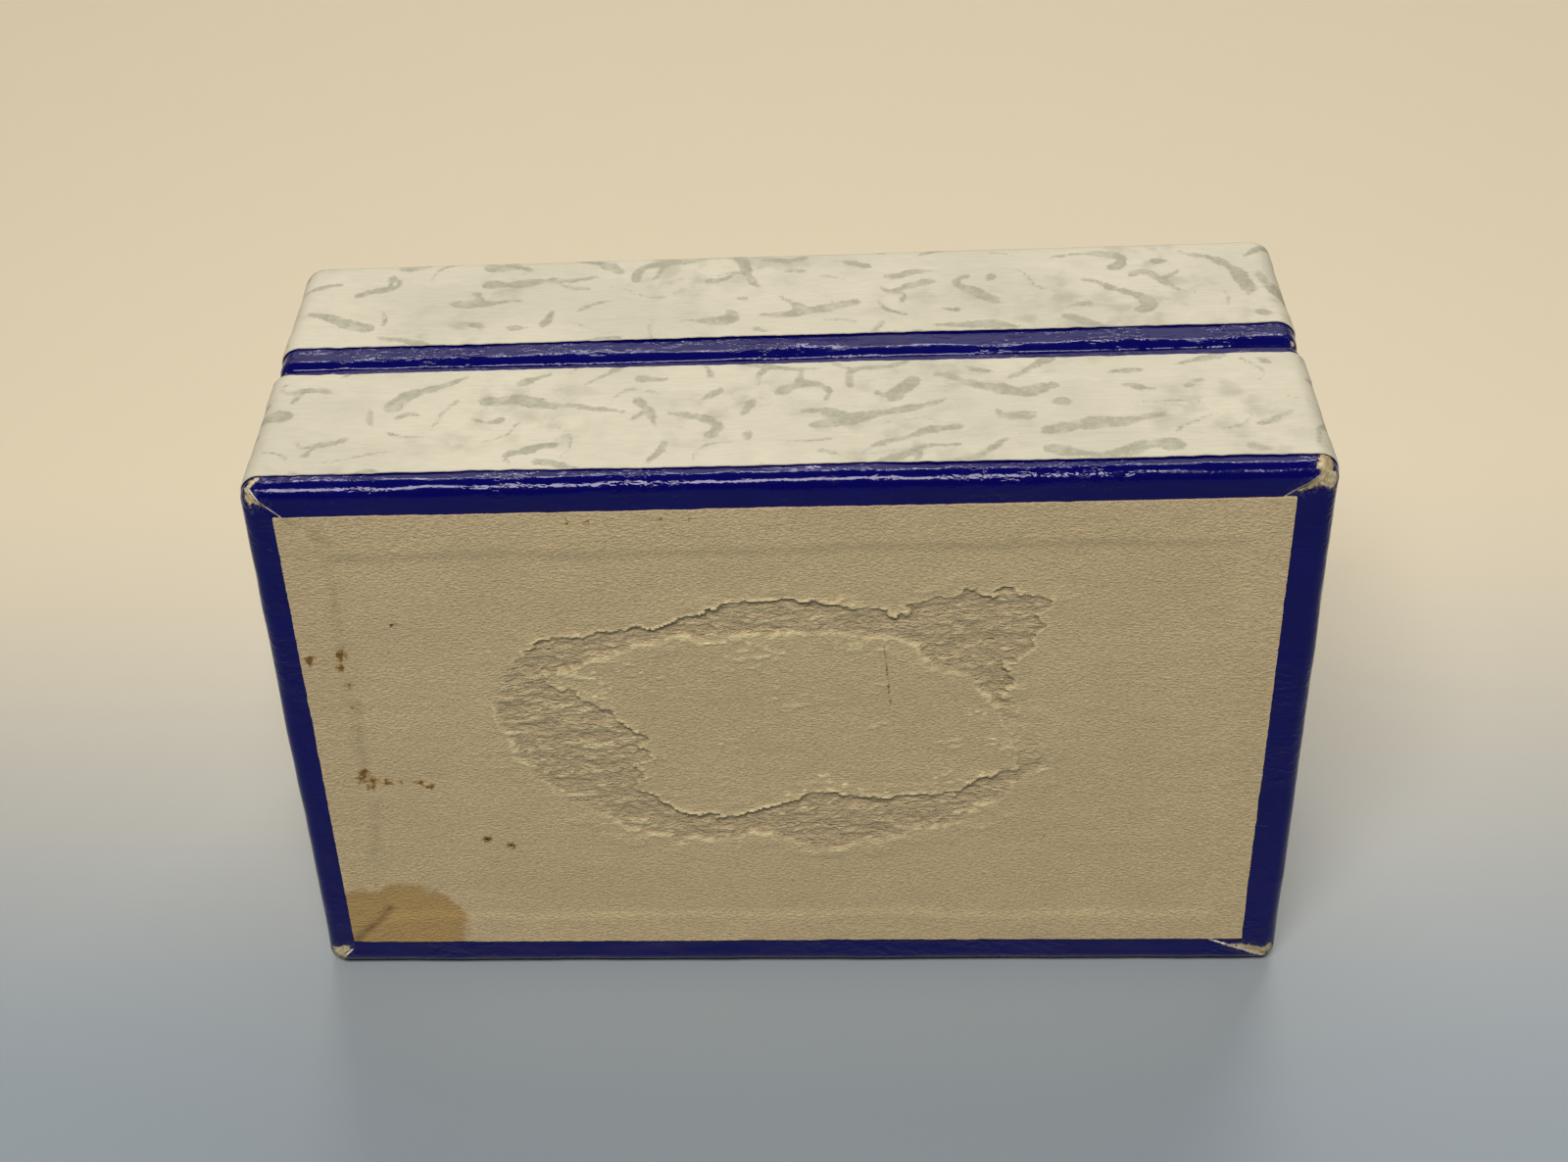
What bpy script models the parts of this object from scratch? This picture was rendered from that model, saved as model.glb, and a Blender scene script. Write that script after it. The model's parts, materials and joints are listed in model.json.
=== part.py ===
"""A small medicine box of paper-covered chipboard, with a glued-in neck and a lift-off lid.

The box stands on one long side, as in the photograph: X runs along its length, Z up its width, and Y
from the bottom panel (-Y) to the lid's top panel (+Y). The origin is at the middle of the side that it
stands on. Base and lid are two shallow trays that meet rim to rim. Each tray is built in its own
coordinates, on an empty at the middle of its panel, whose Y axis runs from the panel to the rim.
"""

from math import radians

import bmesh
import bpy
from mathutils import Matrix, Vector

MM = 0.001

# The whole box, over its papers
LENGTH = 100.0 * MM
WIDTH = 63.3 * MM
BASE_DEPTH = 20.8 * MM
LID_DEPTH = 20.1 * MM
CORNER_R = 2.0 * MM
SEAM_GAP = 0.3 * MM  # between the two rims, where the lid rests on the base

# Board, paper and what lies between them
WALL_BOARD = 1.5 * MM
PANEL_BOARD = 1.5 * MM
NECK_BOARD = 1.0 * MM
PAPER = 0.2 * MM
GLUE = 0.05 * MM
NECK_CLEARANCE = 0.3 * MM  # the lid slides over the neck with this all round
NECK_RISE = 12.0 * MM  # how far the neck stands out of the base's rim
NECK_EDGE_R = 0.4 * MM

# Edging strips, and how much of each is left showing by the papers glued over them
EDGE_R = 1.4 * MM
RIM_R = 1.2 * MM
LAP = 4.0 * MM  # how far a strip runs on under the paper glued over it
BASE_EDGE_SHOWN = 2.35 * MM
LID_EDGE_SHOWN = 0.48 * MM  # less than EDGE_R, because the lid's wrap runs on over the rounded edge
BASE_RIM_SHOWN = 1.35 * MM
LID_RIM_SHOWN = 3.2 * MM
MITRE_GAP = 0.1 * MM
STAY_WING = 8.0 * MM  # how far a corner stay reaches along each wall

# The borders of edging paper left showing round the sheet on each panel; the bottom sheet is glued on
# a little off centre
BOTTOM_BORDERS = {
    "left": 3.2 * MM,
    "right": 3.85 * MM,
    "upper": 3.05 * MM,
    "lower": 3.85 * MM,
}
TOP_BORDER = 3.0 * MM
TOP_BORDERS = {side: TOP_BORDER for side in BOTTOM_BORDERS}

# How finely the round edges are stepped, and how far a cutter runs past what it cuts
CORNER_STEPS = 5
EDGE_STEPS = 4
SMOOTH_ANGLE = radians(40)
MITRE_ANGLE = radians(45)
OVERSHOOT = 2.0 * MM
NEAR = 0.001 * MM

# The layers of a wall, as distances in from its finished face; a panel's first three are the same
EDGING_IN = PAPER + GLUE
BOARD_IN = EDGING_IN + PAPER + GLUE
CAVITY_IN = BOARD_IN + WALL_BOARD
LINING_IN = CAVITY_IN + GLUE
LINING_FACE = LINING_IN + PAPER
NECK_COVER_IN = LINING_FACE + NECK_CLEARANCE
NECK_IN = NECK_COVER_IN + PAPER + GLUE
NECK_CAVITY = NECK_IN + NECK_BOARD
NECK_FACE = NECK_CAVITY + GLUE + PAPER
PANEL_INSIDE = BOARD_IN + PANEL_BOARD

TOTAL_DEPTH = BASE_DEPTH + SEAM_GAP + LID_DEPTH

# Colours as red, green and blue in linear light
COLOURS = {
    "chipboard": (0.30, 0.24, 0.17),
    "stay_paper": (0.45, 0.37, 0.25),
    "edging_paper": (0.012, 0.014, 0.16),
    "wrap_paper": (0.72, 0.69, 0.60),
    "pulp_paper": (0.42, 0.33, 0.21),
    "lining_paper": (0.75, 0.73, 0.68),
}
ROUGHNESS = {
    "chipboard": 0.9,
    "stay_paper": 0.8,
    "edging_paper": 0.25,
    "wrap_paper": 0.6,
    "pulp_paper": 0.9,
    "lining_paper": 0.7,
}


def clear_scene():
    for old in list(bpy.data.objects):
        bpy.data.objects.remove(old, do_unlink=True)


def new_collection(name):
    collection = bpy.data.collections.new(name)
    bpy.context.scene.collection.children.link(collection)
    return collection


def new_material(name):
    material = bpy.data.materials.new(name)
    material.use_nodes = True
    shader = material.node_tree.nodes["Principled BSDF"]
    shader.inputs["Base Color"].default_value = (*COLOURS[name], 1.0)
    shader.inputs["Roughness"].default_value = ROUGHNESS[name]
    shader.inputs["Metallic"].default_value = 0.0
    return material


class Tray:
    """One half of the box: its empty, its depth from panel to rim, how much of the edging its papers
    leave showing, and the words that name its sides."""

    def __init__(self, name, depth, edge_shown, rim_shown, borders, panel_y, turned, boxes, cutters):
        self.name = name
        self.depth = depth
        self.edge_shown = edge_shown
        self.rim_shown = rim_shown
        self.borders = borders
        self.boxes = boxes
        self.cutters = cutters
        self.left = "left" if not turned else "right"
        self.right = "right" if not turned else "left"
        self.frame = bpy.data.objects.new(name + "_frame", None)
        self.frame.empty_display_size = WIDTH / 4
        self.frame.location = (0, panel_y, WIDTH / 2)
        self.frame.rotation_euler = (0, 0, radians(180) if turned else 0)
        boxes.objects.link(self.frame)

    def place(self, name, mesh, material=None):
        """Puts a mesh on the tray's empty, as a part if it has a material and as a cutter if not."""
        thing = bpy.data.objects.new(name, mesh)
        thing.parent = self.frame
        if material:
            mesh.materials.append(material)
            self.boxes.objects.link(thing)
        else:
            thing.hide_render = True
            thing.display_type = "WIRE"
            self.cutters.objects.link(thing)
        return thing


def bevel_edges(bm, edges, radius, steps):
    bmesh.ops.bevel(
        bm,
        geom=edges,
        offset=radius,
        offset_type="OFFSET",
        segments=steps,
        profile=0.5,
        affect="EDGES",
        clamp_overlap=False,
    )


def rounded_block(name, low, high, corner_r=0.0, low_r=0.0, high_r=0.0):
    """A block between two corners, its four edges along Y rounded to corner_r, and the edges round
    its low and high end faces to low_r and high_r."""
    bm = bmesh.new()
    bmesh.ops.create_cube(bm, size=1.0)
    bmesh.ops.scale(bm, vec=high - low, verts=bm.verts)
    bmesh.ops.translate(bm, vec=(low + high) / 2, verts=bm.verts)
    if corner_r > NEAR:
        along = [e for e in bm.edges if abs(e.verts[0].co.y - e.verts[1].co.y) > NEAR]
        bevel_edges(bm, along, corner_r, CORNER_STEPS)
    for y, radius in ((low.y, low_r), (high.y, high_r)):
        if radius > NEAR:
            ring = [e for e in bm.edges if all(abs(v.co.y - y) < NEAR for v in e.verts)]
            bevel_edges(bm, ring, radius, EDGE_STEPS)
    mesh = bpy.data.meshes.new(name)
    bm.to_mesh(mesh)
    bm.free()
    mesh.shade_smooth()
    mesh.set_sharp_from_angle(angle=SMOOTH_ANGLE)
    return mesh


def layer_block(name, inset, start, end, panel_r=0.0, rim_r=0.0):
    """A block set in from the box's four walls by inset, from one depth below the panel to another."""
    low = Vector((inset - LENGTH / 2, start, inset - WIDTH / 2))
    high = Vector((LENGTH / 2 - inset, end, WIDTH / 2 - inset))
    return rounded_block(name, low, high, CORNER_R - inset, panel_r, rim_r)


def block_between(name, a, b):
    return rounded_block(name, Vector(map(min, a, b)), Vector(map(max, a, b)))


def boolean(target, operation, cutter):
    modifier = target.modifiers.new(operation.lower(), "BOOLEAN")
    modifier.operation = operation
    modifier.solver = "EXACT"
    modifier.object = cutter


def cut(tray, target, mesh):
    """Takes the shape of a mesh out of a part, and returns the cutter."""
    cutter = tray.place(mesh.name, mesh)
    boolean(target, "DIFFERENCE", cutter)
    return cutter


def keep_only(tray, target, mesh):
    boolean(target, "INTERSECT", tray.place(mesh.name, mesh))


def sleeve(tray, name, material, outer, inner, start, end, edge_r=0.0):
    """A band that follows the four walls, between two distances in from their finished faces."""
    band = tray.place(name, layer_block(name, outer, start, end, rim_r=edge_r), material)
    hole = layer_block(name + "_hole", inner, start - OVERSHOOT, end + OVERSHOOT)
    cut(tray, band, hole)
    return band


def turned_strip(tray, name, material, outer, inner, start, top, radius):
    """A band folded over the top edge of a wall: down its outside, over the edge, down its inside."""
    band = tray.place(name, layer_block(name, outer, start, top, rim_r=radius), material)
    wall = layer_block(name + "_wall", outer + PAPER, start - OVERSHOOT, top - PAPER, rim_r=radius - PAPER)
    wall_cutter = cut(tray, band, wall)
    wall_hole = layer_block(name + "_wall_hole", inner - PAPER, start - 2 * OVERSHOOT, top + OVERSHOOT)
    cut(tray, wall_cutter, wall_hole)
    hole = layer_block(name + "_hole", inner, start - OVERSHOOT, top + OVERSHOOT)
    cut(tray, band, hole)
    return band


def add_board(tray, material):
    """The tray itself: a scored chipboard blank folded up, its outer edges crushed round by the papers."""
    name = tray.name + "_board"
    under_paper = PAPER + GLUE
    rim = tray.depth - under_paper
    body = layer_block(name, BOARD_IN, BOARD_IN, rim, EDGE_R - under_paper, RIM_R - under_paper)
    board = tray.place(name, body, material)
    cut(tray, board, layer_block(name + "_inside", CAVITY_IN, PANEL_INSIDE, rim + OVERSHOOT))


def strip_end(tray, name, outward, along):
    """The large cube past one mitre of a strip. The mitre runs in from the box's corner."""
    side = 2 * (LENGTH + WIDTH)
    corner = Vector((LENGTH / 2 * (outward.x + along.x), 0, WIDTH / 2 * (outward.z + along.z)))
    beyond = (along - outward).normalized()
    bm = bmesh.new()
    middle = Matrix.Translation(corner + beyond * (side - MITRE_GAP) / 2)
    bmesh.ops.create_cube(bm, size=side, matrix=middle @ Matrix.Rotation(MITRE_ANGLE, 4, "Y"))
    mesh = bpy.data.meshes.new(name)
    bm.to_mesh(mesh)
    bm.free()
    return mesh


def add_edge_strips(tray, material):
    """Four strips folded over the edges between panel and walls, mitred where they meet."""
    sides = {
        "upper": Vector((0, 0, 1)),
        "lower": Vector((0, 0, -1)),
        tray.left: Vector((-1, 0, 0)),
        tray.right: Vector((1, 0, 0)),
    }
    wall_end = tray.edge_shown + LAP
    for side, outward in sides.items():
        name = f"{tray.name}_edging_{side}"
        shell = layer_block(name, EDGING_IN, EDGING_IN, wall_end, EDGE_R)
        strip = tray.place(name, shell, material)
        under = EDGING_IN + PAPER
        inside = layer_block(name + "_inside", under, under, wall_end + OVERSHOOT, EDGE_R - PAPER)
        cut(tray, strip, inside)
        reach = tray.borders[side] + LAP
        across = Vector((abs(outward.z) * LENGTH, 0, abs(outward.x) * WIDTH))
        near = Vector((outward.x * (LENGTH / 2 - reach), -OVERSHOOT, outward.z * (WIDTH / 2 - reach)))
        far = Vector((outward.x * LENGTH, wall_end + OVERSHOOT, outward.z * WIDTH))
        keep_only(tray, strip, block_between(name + "_side", near - across, far + across))
        turned = Vector((outward.z, 0, outward.x))
        for end, along in (("a", turned), ("b", -turned)):
            cut(tray, strip, strip_end(tray, f"{name}_mitre_{end}", outward, along))


def add_rim_strip(tray, material):
    """The strip folded over the rim, as far down the inside as the outside."""
    name = tray.name + "_rim_edging"
    start = tray.depth - tray.rim_shown - LAP
    turned_strip(tray, name, material, EDGING_IN, LINING_FACE, start, tray.depth, RIM_R)


def add_corner_stays(tray, material):
    """Gummed paper folded round each corner of the board, between the edging strips."""
    start = tray.edge_shown + LAP + GLUE
    end = tray.depth - tray.rim_shown - LAP - GLUE
    for level, up in (("upper", 1), ("lower", -1)):
        for side, right in ((tray.left, -1), (tray.right, 1)):
            name = f"{tray.name}_stay_{level}_{side}"
            stay = sleeve(tray, name, material, EDGING_IN, EDGING_IN + PAPER, start, end)
            wing_x = right * (LENGTH / 2 - STAY_WING)
            wing_z = up * (WIDTH / 2 - STAY_WING)
            near = Vector((wing_x, start - OVERSHOOT, wing_z))
            far = Vector((right * LENGTH, end + OVERSHOOT, up * WIDTH))
            keep_only(tray, stay, block_between(name + "_corner", near, far))


def add_wrap(tray, material):
    """The patterned paper round the walls, over the edging strips, and as far over the panel's rounded
    edge as it was cut to reach."""
    name = tray.name + "_wall_wrap"
    end = tray.depth - tray.rim_shown
    over_edge_r = EDGING_IN + EDGE_R
    wrap = tray.place(name, layer_block(name, 0.0, 0.0, end, over_edge_r), material)
    cut(tray, wrap, layer_block(name + "_inside", PAPER, PAPER, end + OVERSHOOT, over_edge_r - PAPER))
    near = Vector((-LENGTH, -OVERSHOOT, -WIDTH))
    far = Vector((LENGTH, tray.edge_shown, WIDTH))
    cut(tray, wrap, block_between(name + "_panel_side", near, far))


def add_sheet(tray, name, material):
    """The sheet glued on the panel, over the edging strips."""
    low = Vector((tray.borders[tray.left] - LENGTH / 2, 0, tray.borders["lower"] - WIDTH / 2))
    high = Vector((LENGTH / 2 - tray.borders[tray.right], PAPER, WIDTH / 2 - tray.borders["upper"]))
    tray.place(name, rounded_block(name, low, high), material)


def add_panel_lining(tray, name, inset, material):
    start = PANEL_INSIDE + GLUE
    tray.place(name, layer_block(name, inset + GLUE, start, start + PAPER), material)


def add_neck(tray, board_material, paper_material):
    """The collar that the lid slides over: a folded card, and the paper turned over its top edge."""
    start = PANEL_INSIDE + GLUE
    top = tray.depth + NECK_RISE
    under_paper = PAPER + GLUE
    card_top = top - under_paper
    card_edge_r = NECK_EDGE_R - under_paper
    sleeve(tray, "neck_board", board_material, NECK_IN, NECK_CAVITY, start, card_top, card_edge_r)
    turned_strip(tray, "neck_cover", paper_material, NECK_COVER_IN, NECK_FACE, start, top, NECK_EDGE_R)


def add_lid_wall_lining(tray, material):
    start = PANEL_INSIDE + GLUE
    end = tray.depth - tray.rim_shown - LAP - GLUE
    sleeve(tray, "lid_wall_lining", material, LINING_IN, LINING_FACE, start, end)


def add_shared_parts(tray, materials):
    add_board(tray, materials["chipboard"])
    add_corner_stays(tray, materials["stay_paper"])
    add_edge_strips(tray, materials["edging_paper"])
    add_rim_strip(tray, materials["edging_paper"])
    add_wrap(tray, materials["wrap_paper"])


def main():
    clear_scene()
    boxes = new_collection("medicine_box")
    cutters = new_collection("cutters")
    materials = {name: new_material(name) for name in COLOURS}

    bottom_y = -TOTAL_DEPTH / 2
    top_y = TOTAL_DEPTH / 2
    base = Tray(
        "base", BASE_DEPTH, BASE_EDGE_SHOWN, BASE_RIM_SHOWN, BOTTOM_BORDERS, bottom_y, False, boxes, cutters
    )
    add_shared_parts(base, materials)
    add_sheet(base, "bottom_sheet", materials["pulp_paper"])
    add_neck(base, materials["chipboard"], materials["lining_paper"])
    add_panel_lining(base, "base_floor_lining", NECK_FACE, materials["lining_paper"])

    lid = Tray("lid", LID_DEPTH, LID_EDGE_SHOWN, LID_RIM_SHOWN, TOP_BORDERS, top_y, True, boxes, cutters)
    add_shared_parts(lid, materials)
    add_sheet(lid, "top_sheet", materials["wrap_paper"])
    add_lid_wall_lining(lid, materials["lining_paper"])
    add_panel_lining(lid, "lid_top_lining", LINING_FACE, materials["lining_paper"])


main()
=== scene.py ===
"""The looks of the medicine box: glazed edging paper, brush-marked wrap, pulp sheet, linings and stage.

Shapes are worked out in millimetres and put into the meshes in metres. Along a wall or over its edge, a
place is given by its inset, the distance in from the box's finished side, and its depth, the distance
from the plane of the tray's panel.
"""
import json
from functools import reduce
from math import pi, radians

import bpy
import numpy as np
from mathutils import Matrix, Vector


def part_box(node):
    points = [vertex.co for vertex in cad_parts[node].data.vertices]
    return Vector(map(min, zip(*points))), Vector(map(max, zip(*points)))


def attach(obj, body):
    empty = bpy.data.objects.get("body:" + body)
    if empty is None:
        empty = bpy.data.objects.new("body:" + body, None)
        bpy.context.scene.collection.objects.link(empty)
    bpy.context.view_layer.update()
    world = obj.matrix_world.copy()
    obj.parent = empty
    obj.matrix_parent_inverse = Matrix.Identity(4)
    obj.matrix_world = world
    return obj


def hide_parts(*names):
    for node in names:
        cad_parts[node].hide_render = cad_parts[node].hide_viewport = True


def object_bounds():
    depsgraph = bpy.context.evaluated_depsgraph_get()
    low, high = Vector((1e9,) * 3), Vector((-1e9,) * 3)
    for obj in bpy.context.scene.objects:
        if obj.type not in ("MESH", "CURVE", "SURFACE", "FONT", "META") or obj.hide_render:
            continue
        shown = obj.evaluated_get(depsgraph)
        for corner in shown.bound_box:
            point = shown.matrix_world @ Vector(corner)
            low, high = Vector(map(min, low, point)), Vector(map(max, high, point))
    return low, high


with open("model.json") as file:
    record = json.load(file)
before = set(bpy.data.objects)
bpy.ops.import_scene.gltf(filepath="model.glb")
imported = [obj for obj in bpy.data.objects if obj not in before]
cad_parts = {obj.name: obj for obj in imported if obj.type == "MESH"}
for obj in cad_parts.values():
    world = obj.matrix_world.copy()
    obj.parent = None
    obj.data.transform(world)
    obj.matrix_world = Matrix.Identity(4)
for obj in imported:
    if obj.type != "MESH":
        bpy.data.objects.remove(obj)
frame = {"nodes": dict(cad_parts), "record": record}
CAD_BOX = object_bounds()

bl_info = {
    "name": "Medicine box papers",
    "version": (1, 0, 0),
    "blender": (4, 5, 0),
    "location": "3D View > Sidebar > Box",
    "description": "Covers a small chipboard box with edging, wrap and panel papers",
    "category": "Object",
}

MM = 0.001
# Stands for "nowhere near" in fields of distances, in millimetres
FAR = 9.0


def corners_mm(node_name):
    """The lowest and highest corners of a node, in millimetres."""
    low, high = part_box(node_name)
    return np.array(low) / MM, np.array(high) / MM


BOX_LOW, BOX_HIGH = (np.array(corner) / MM for corner in CAD_BOX)
LENGTH = BOX_HIGH[0] - BOX_LOW[0]
WIDTH = BOX_HIGH[2] - BOX_LOW[2]
BASE_RIM_Y = corners_mm("base_rim_edging")[1][1]
LID_RIM_Y = corners_mm("lid_rim_edging")[0][1]


class Tray:
    """One half of the box: where its panel's plane lies, which way its rim is, and the depths at which
    its papers begin and end."""

    def __init__(self, name, panel_y, rim_y):
        self.name = name
        self.panel_y = panel_y
        self.into = 1.0 if rim_y > panel_y else -1.0
        self.wrap = self.depths(name + "_wall_wrap")
        self.edging = self.depths(name + "_edging_upper")
        self.rim = self.depths(name + "_rim_edging")

    def depths(self, node_name):
        low, high = corners_mm(node_name)
        return sorted(abs(y - self.panel_y) for y in (low[1], high[1]))

    def y(self, depth):
        return self.panel_y + self.into * depth


BASE = Tray("base", BOX_LOW[1], BASE_RIM_Y)
LID = Tray("lid", BOX_HIGH[1], LID_RIM_Y)

# How far the edging's outer face lies in from the box's finished sides
EDGING_IN = LENGTH / 2 - corners_mm("base_edging_right")[1][0]
# How far in the rim strips' inside legs lie: a little past the edge of the lid's top lining
PAST_LINING = 0.15
RIM_LEG_IN = LENGTH / 2 - corners_mm("lid_top_lining")[1][0] + PAST_LINING
# How far in the edging reaches under the bottom sheet, as the step in the sheet shows, and how much
# shorter it is drawn, to stay clear of that step
HIDDEN_EDGING = {"left": 7.4, "right": 7.7, "upper": 8.1, "lower": 7.9}
EDGING_SHORTER = 1.4


def linear(hex_colour):
    """The linear red, green and blue of an sRGB hex colour."""
    parts = [int(hex_colour[i:i + 2], 16) / 255 for i in (1, 3, 5)]
    return tuple(p / 12.92 if p <= 0.04045 else ((p + 0.055) / 1.055) ** 2.4 for p in parts)


def length_property(name, description, default_mm):
    return bpy.props.FloatProperty(
        name=name, description=description, default=default_mm * MM, min=0.0, precision=5, unit="LENGTH"
    )


def colour_property(name, description, default_hex):
    return bpy.props.FloatVectorProperty(
        name=name, description=description, default=linear(default_hex), size=3, min=0.0, max=1.0,
        subtype="COLOR",
    )


class BoxSizes(bpy.types.PropertyGroup):
    corner_r: length_property("Corner radius", "Radius of the four corners round the walls", 2.0)
    edge_r: length_property("Edge radius", "Radius of the folded edges between panels and walls", 1.4)
    lid_rim_r: length_property("Lid rim radius", "Radius of the lid's rim", 1.2)
    base_rim_r: length_property("Base rim radius", "Radius of the base's rim", 0.75)
    paper: length_property("Paper", "Thickness at which the edging and linings are drawn", 0.16)
    wrap_paper: length_property("Wrap paper", "Thickness at which the brush-marked wrap is drawn", 0.1)
    cut_wander: length_property("Cut wander", "How far a cut paper edge strays from straight", 0.13)
    ripple: length_property("Ripple", "Height of the ripples in the glued-down edging", 0.05)
    tear_depth: length_property("Tear depth", "How deep the torn-off label took the pulp sheet", 0.19)
    grid: length_property("Grid", "Spacing of the points on the wrap and the sheets", 0.37)


class BoxColours(bpy.types.PropertyGroup):
    glaze: colour_property("Glazed blue", "The edging paper's pigment coat", "#020258")
    bare: colour_property("Bare fibre", "Paper and board fibre where the edging has worn through", "#DCCFAE")
    wrap: colour_property("Wrap ground", "The wrap paper between its brush marks", "#CAC7B7")
    mark: colour_property("Brush marks", "The sage grey marks printed on the wrap", "#9E9D8B")
    cut: colour_property("Cut edge", "The white core of a cut paper edge", "#F2ECDC")
    pulp: colour_property("Pulp sheet", "The tan sheet on the bottom panel", "#D2BE97")
    torn: colour_property("Torn pulp", "The inner plies of the sheet where a label was torn off", "#C7B391")
    # The lip colour is also laid on raised places of the torn ring, where it is partly a painted highlight.
    lip: colour_property("Torn lip", "Clean fibre along the torn edges and on loose tufts", "#E9DBAE")
    stain: colour_property("Stain", "The dried liquid in one corner of the sheet", "#B79042")
    lining: colour_property("Lining", "The white paper on the neck and inside the lid", "#E9E4D6")
    board: colour_property("Board", "Bare grey-brown chipboard", "#9A8A74")
    stay: colour_property("Stay paper", "Gummed brown paper on the board's corners", "#B29C78")
    floor: colour_property("Floor in front", "The cool grey front of the graduated floor", "#8E9BAA")
    backdrop: colour_property("Floor behind", "The warm cream that it turns to behind the box", "#DCD2BC")


def mm(name):
    """A size from the sidebar, in millimetres."""
    return getattr(bpy.context.scene.box_sizes, name) / MM


def colour(name):
    """A colour from the sidebar, as linear red, green and blue."""
    return tuple(getattr(bpy.context.scene.box_colours, name))


# Noise on arrays

def value_noise(u, v, cell_u, cell_v, seed):
    """Smooth random heights from -1 to 1: random values on a lattice of cells, blended between the four
    nearest ones by the step 3f^2 - 2f^3 of the place within the cell."""
    table = np.random.default_rng(seed).uniform(-1, 1, (256, 256))
    a = np.asarray(u) / cell_u + 1000
    b = np.asarray(v) / cell_v + 1000
    i = np.floor(a).astype(int)
    j = np.floor(b).astype(int)
    fa = a - i
    fb = b - j
    fa = fa * fa * (3 - 2 * fa)
    fb = fb * fb * (3 - 2 * fb)
    near = table[i % 256, j % 256] * (1 - fa) + table[(i + 1) % 256, j % 256] * fa
    far = table[i % 256, (j + 1) % 256] * (1 - fa) + table[(i + 1) % 256, (j + 1) % 256] * fa
    return near * (1 - fb) + far * fb


def layered_noise(u, v, cell_u, cell_v, seed, layers=3):
    """Value noise summed over layers, each with half the cell and half the height of the one before."""
    total = 0.0
    for layer in range(layers):
        share = 0.5 ** layer
        total = total + share * value_noise(u, v, cell_u * share, cell_v * share, seed + layer)
    return total


def smooth_step(low, high, x):
    """0 below low, 1 above high, and the step 3t^2 - 2t^3 between them."""
    t = np.clip((x - low) / (high - low), 0, 1)
    return t * t * (3 - 2 * t)


def bump_at(x, centre, width):
    """A round hump of height 1 at centre, exp(-((x - centre) / width)^2)."""
    return np.exp(-(((x - centre) / width) ** 2))


# Distances

def distance_to_line(x, z, start, end):
    """The distance from points to a straight stretch. The nearest point of the stretch is its start plus
    the clipped share of its length."""
    dx, dz = end[0] - start[0], end[1] - start[1]
    along = (x - start[0]) * dx + (z - start[1]) * dz
    share = np.clip(along / max(dx * dx + dz * dz, 1e-12), 0, 1)
    return np.hypot(x - start[0] - share * dx, z - start[1] - share * dz)


def distance_to_outline(x, z, outline):
    """The distance from points to a closed outline of straight stretches, less than 0 inside it. A point
    is inside if a line from it to the right crosses the outline an odd number of times."""
    best = np.full(x.shape, np.inf)
    inside = np.zeros(x.shape, bool)
    for start, end in zip(outline, (*outline[1:], outline[0])):
        best = np.minimum(best, distance_to_line(x, z, start, end))
        dx, dz = end[0] - start[0], end[1] - start[1]
        crosses = (start[1] > z) != (end[1] > z)
        inside ^= crosses & (x < start[0] + (z - start[1]) * dx / (dz or 1e-9))
    return np.where(inside, -best, best)


def distance_to_spots(x, z, spots):
    """The distance outside the nearest of some round spots, each given as X, Z and radius."""
    return np.minimum.reduce([np.hypot(x - sx, z - sz) - r for sx, sz, r in spots])


# Sections and grids

class Section:
    """A paper's outer line in section, which starts down a wall at a given inset and depth, runs towards
    the edge, and turns over it in parts of circles. Straight runs and turns are steps of ("run", length)
    and ("turn", radius, degrees). While it has turned by an angle q, it heads along (sin q, -cos q) in
    inset and depth, and outwards is (-cos q, -sin q)."""

    def __init__(self, inset, depth, steps, arc_points=16):
        along, place, out = [0.0], [np.array([inset, depth])], [np.array([-1.0, 0.0])]
        turned = 0.0
        for kind, size, *degrees in steps:
            if kind == "run":
                along.append(along[-1] + size)
                place.append(place[-1] + size * np.array([np.sin(turned), -np.cos(turned)]))
                out.append(out[-1])
                continue
            centre = place[-1] - size * out[-1]
            bend = radians(degrees[0])
            for q in np.linspace(turned, turned + bend, arc_points + 1)[1:]:
                along.append(along[-1] + size * bend / arc_points)
                out.append(np.array([-np.cos(q), -np.sin(q)]))
                place.append(centre + size * out[-1])
            turned += bend
        self.along = np.array(along)
        self.place = np.array(place)
        self.out = np.array(out)
        self.length = self.along[-1]

    def at(self, w):
        """Inset, depth and the two parts of the outward direction at distances w along the line."""
        return [np.interp(w, self.along, column) for column in (*self.place.T, *self.out.T)]


def spaced(stops, spacings):
    """Distances from the first stop to the last, with the given spacing in each stretch between them."""
    parts = [np.array([stops[0]])]
    for low, high, spacing in zip(stops, stops[1:], spacings):
        count = max(1, int(np.ceil((high - low) / spacing)))
        parts.append(np.linspace(low, high, count + 1)[1:])
    return np.concatenate(parts)


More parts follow.
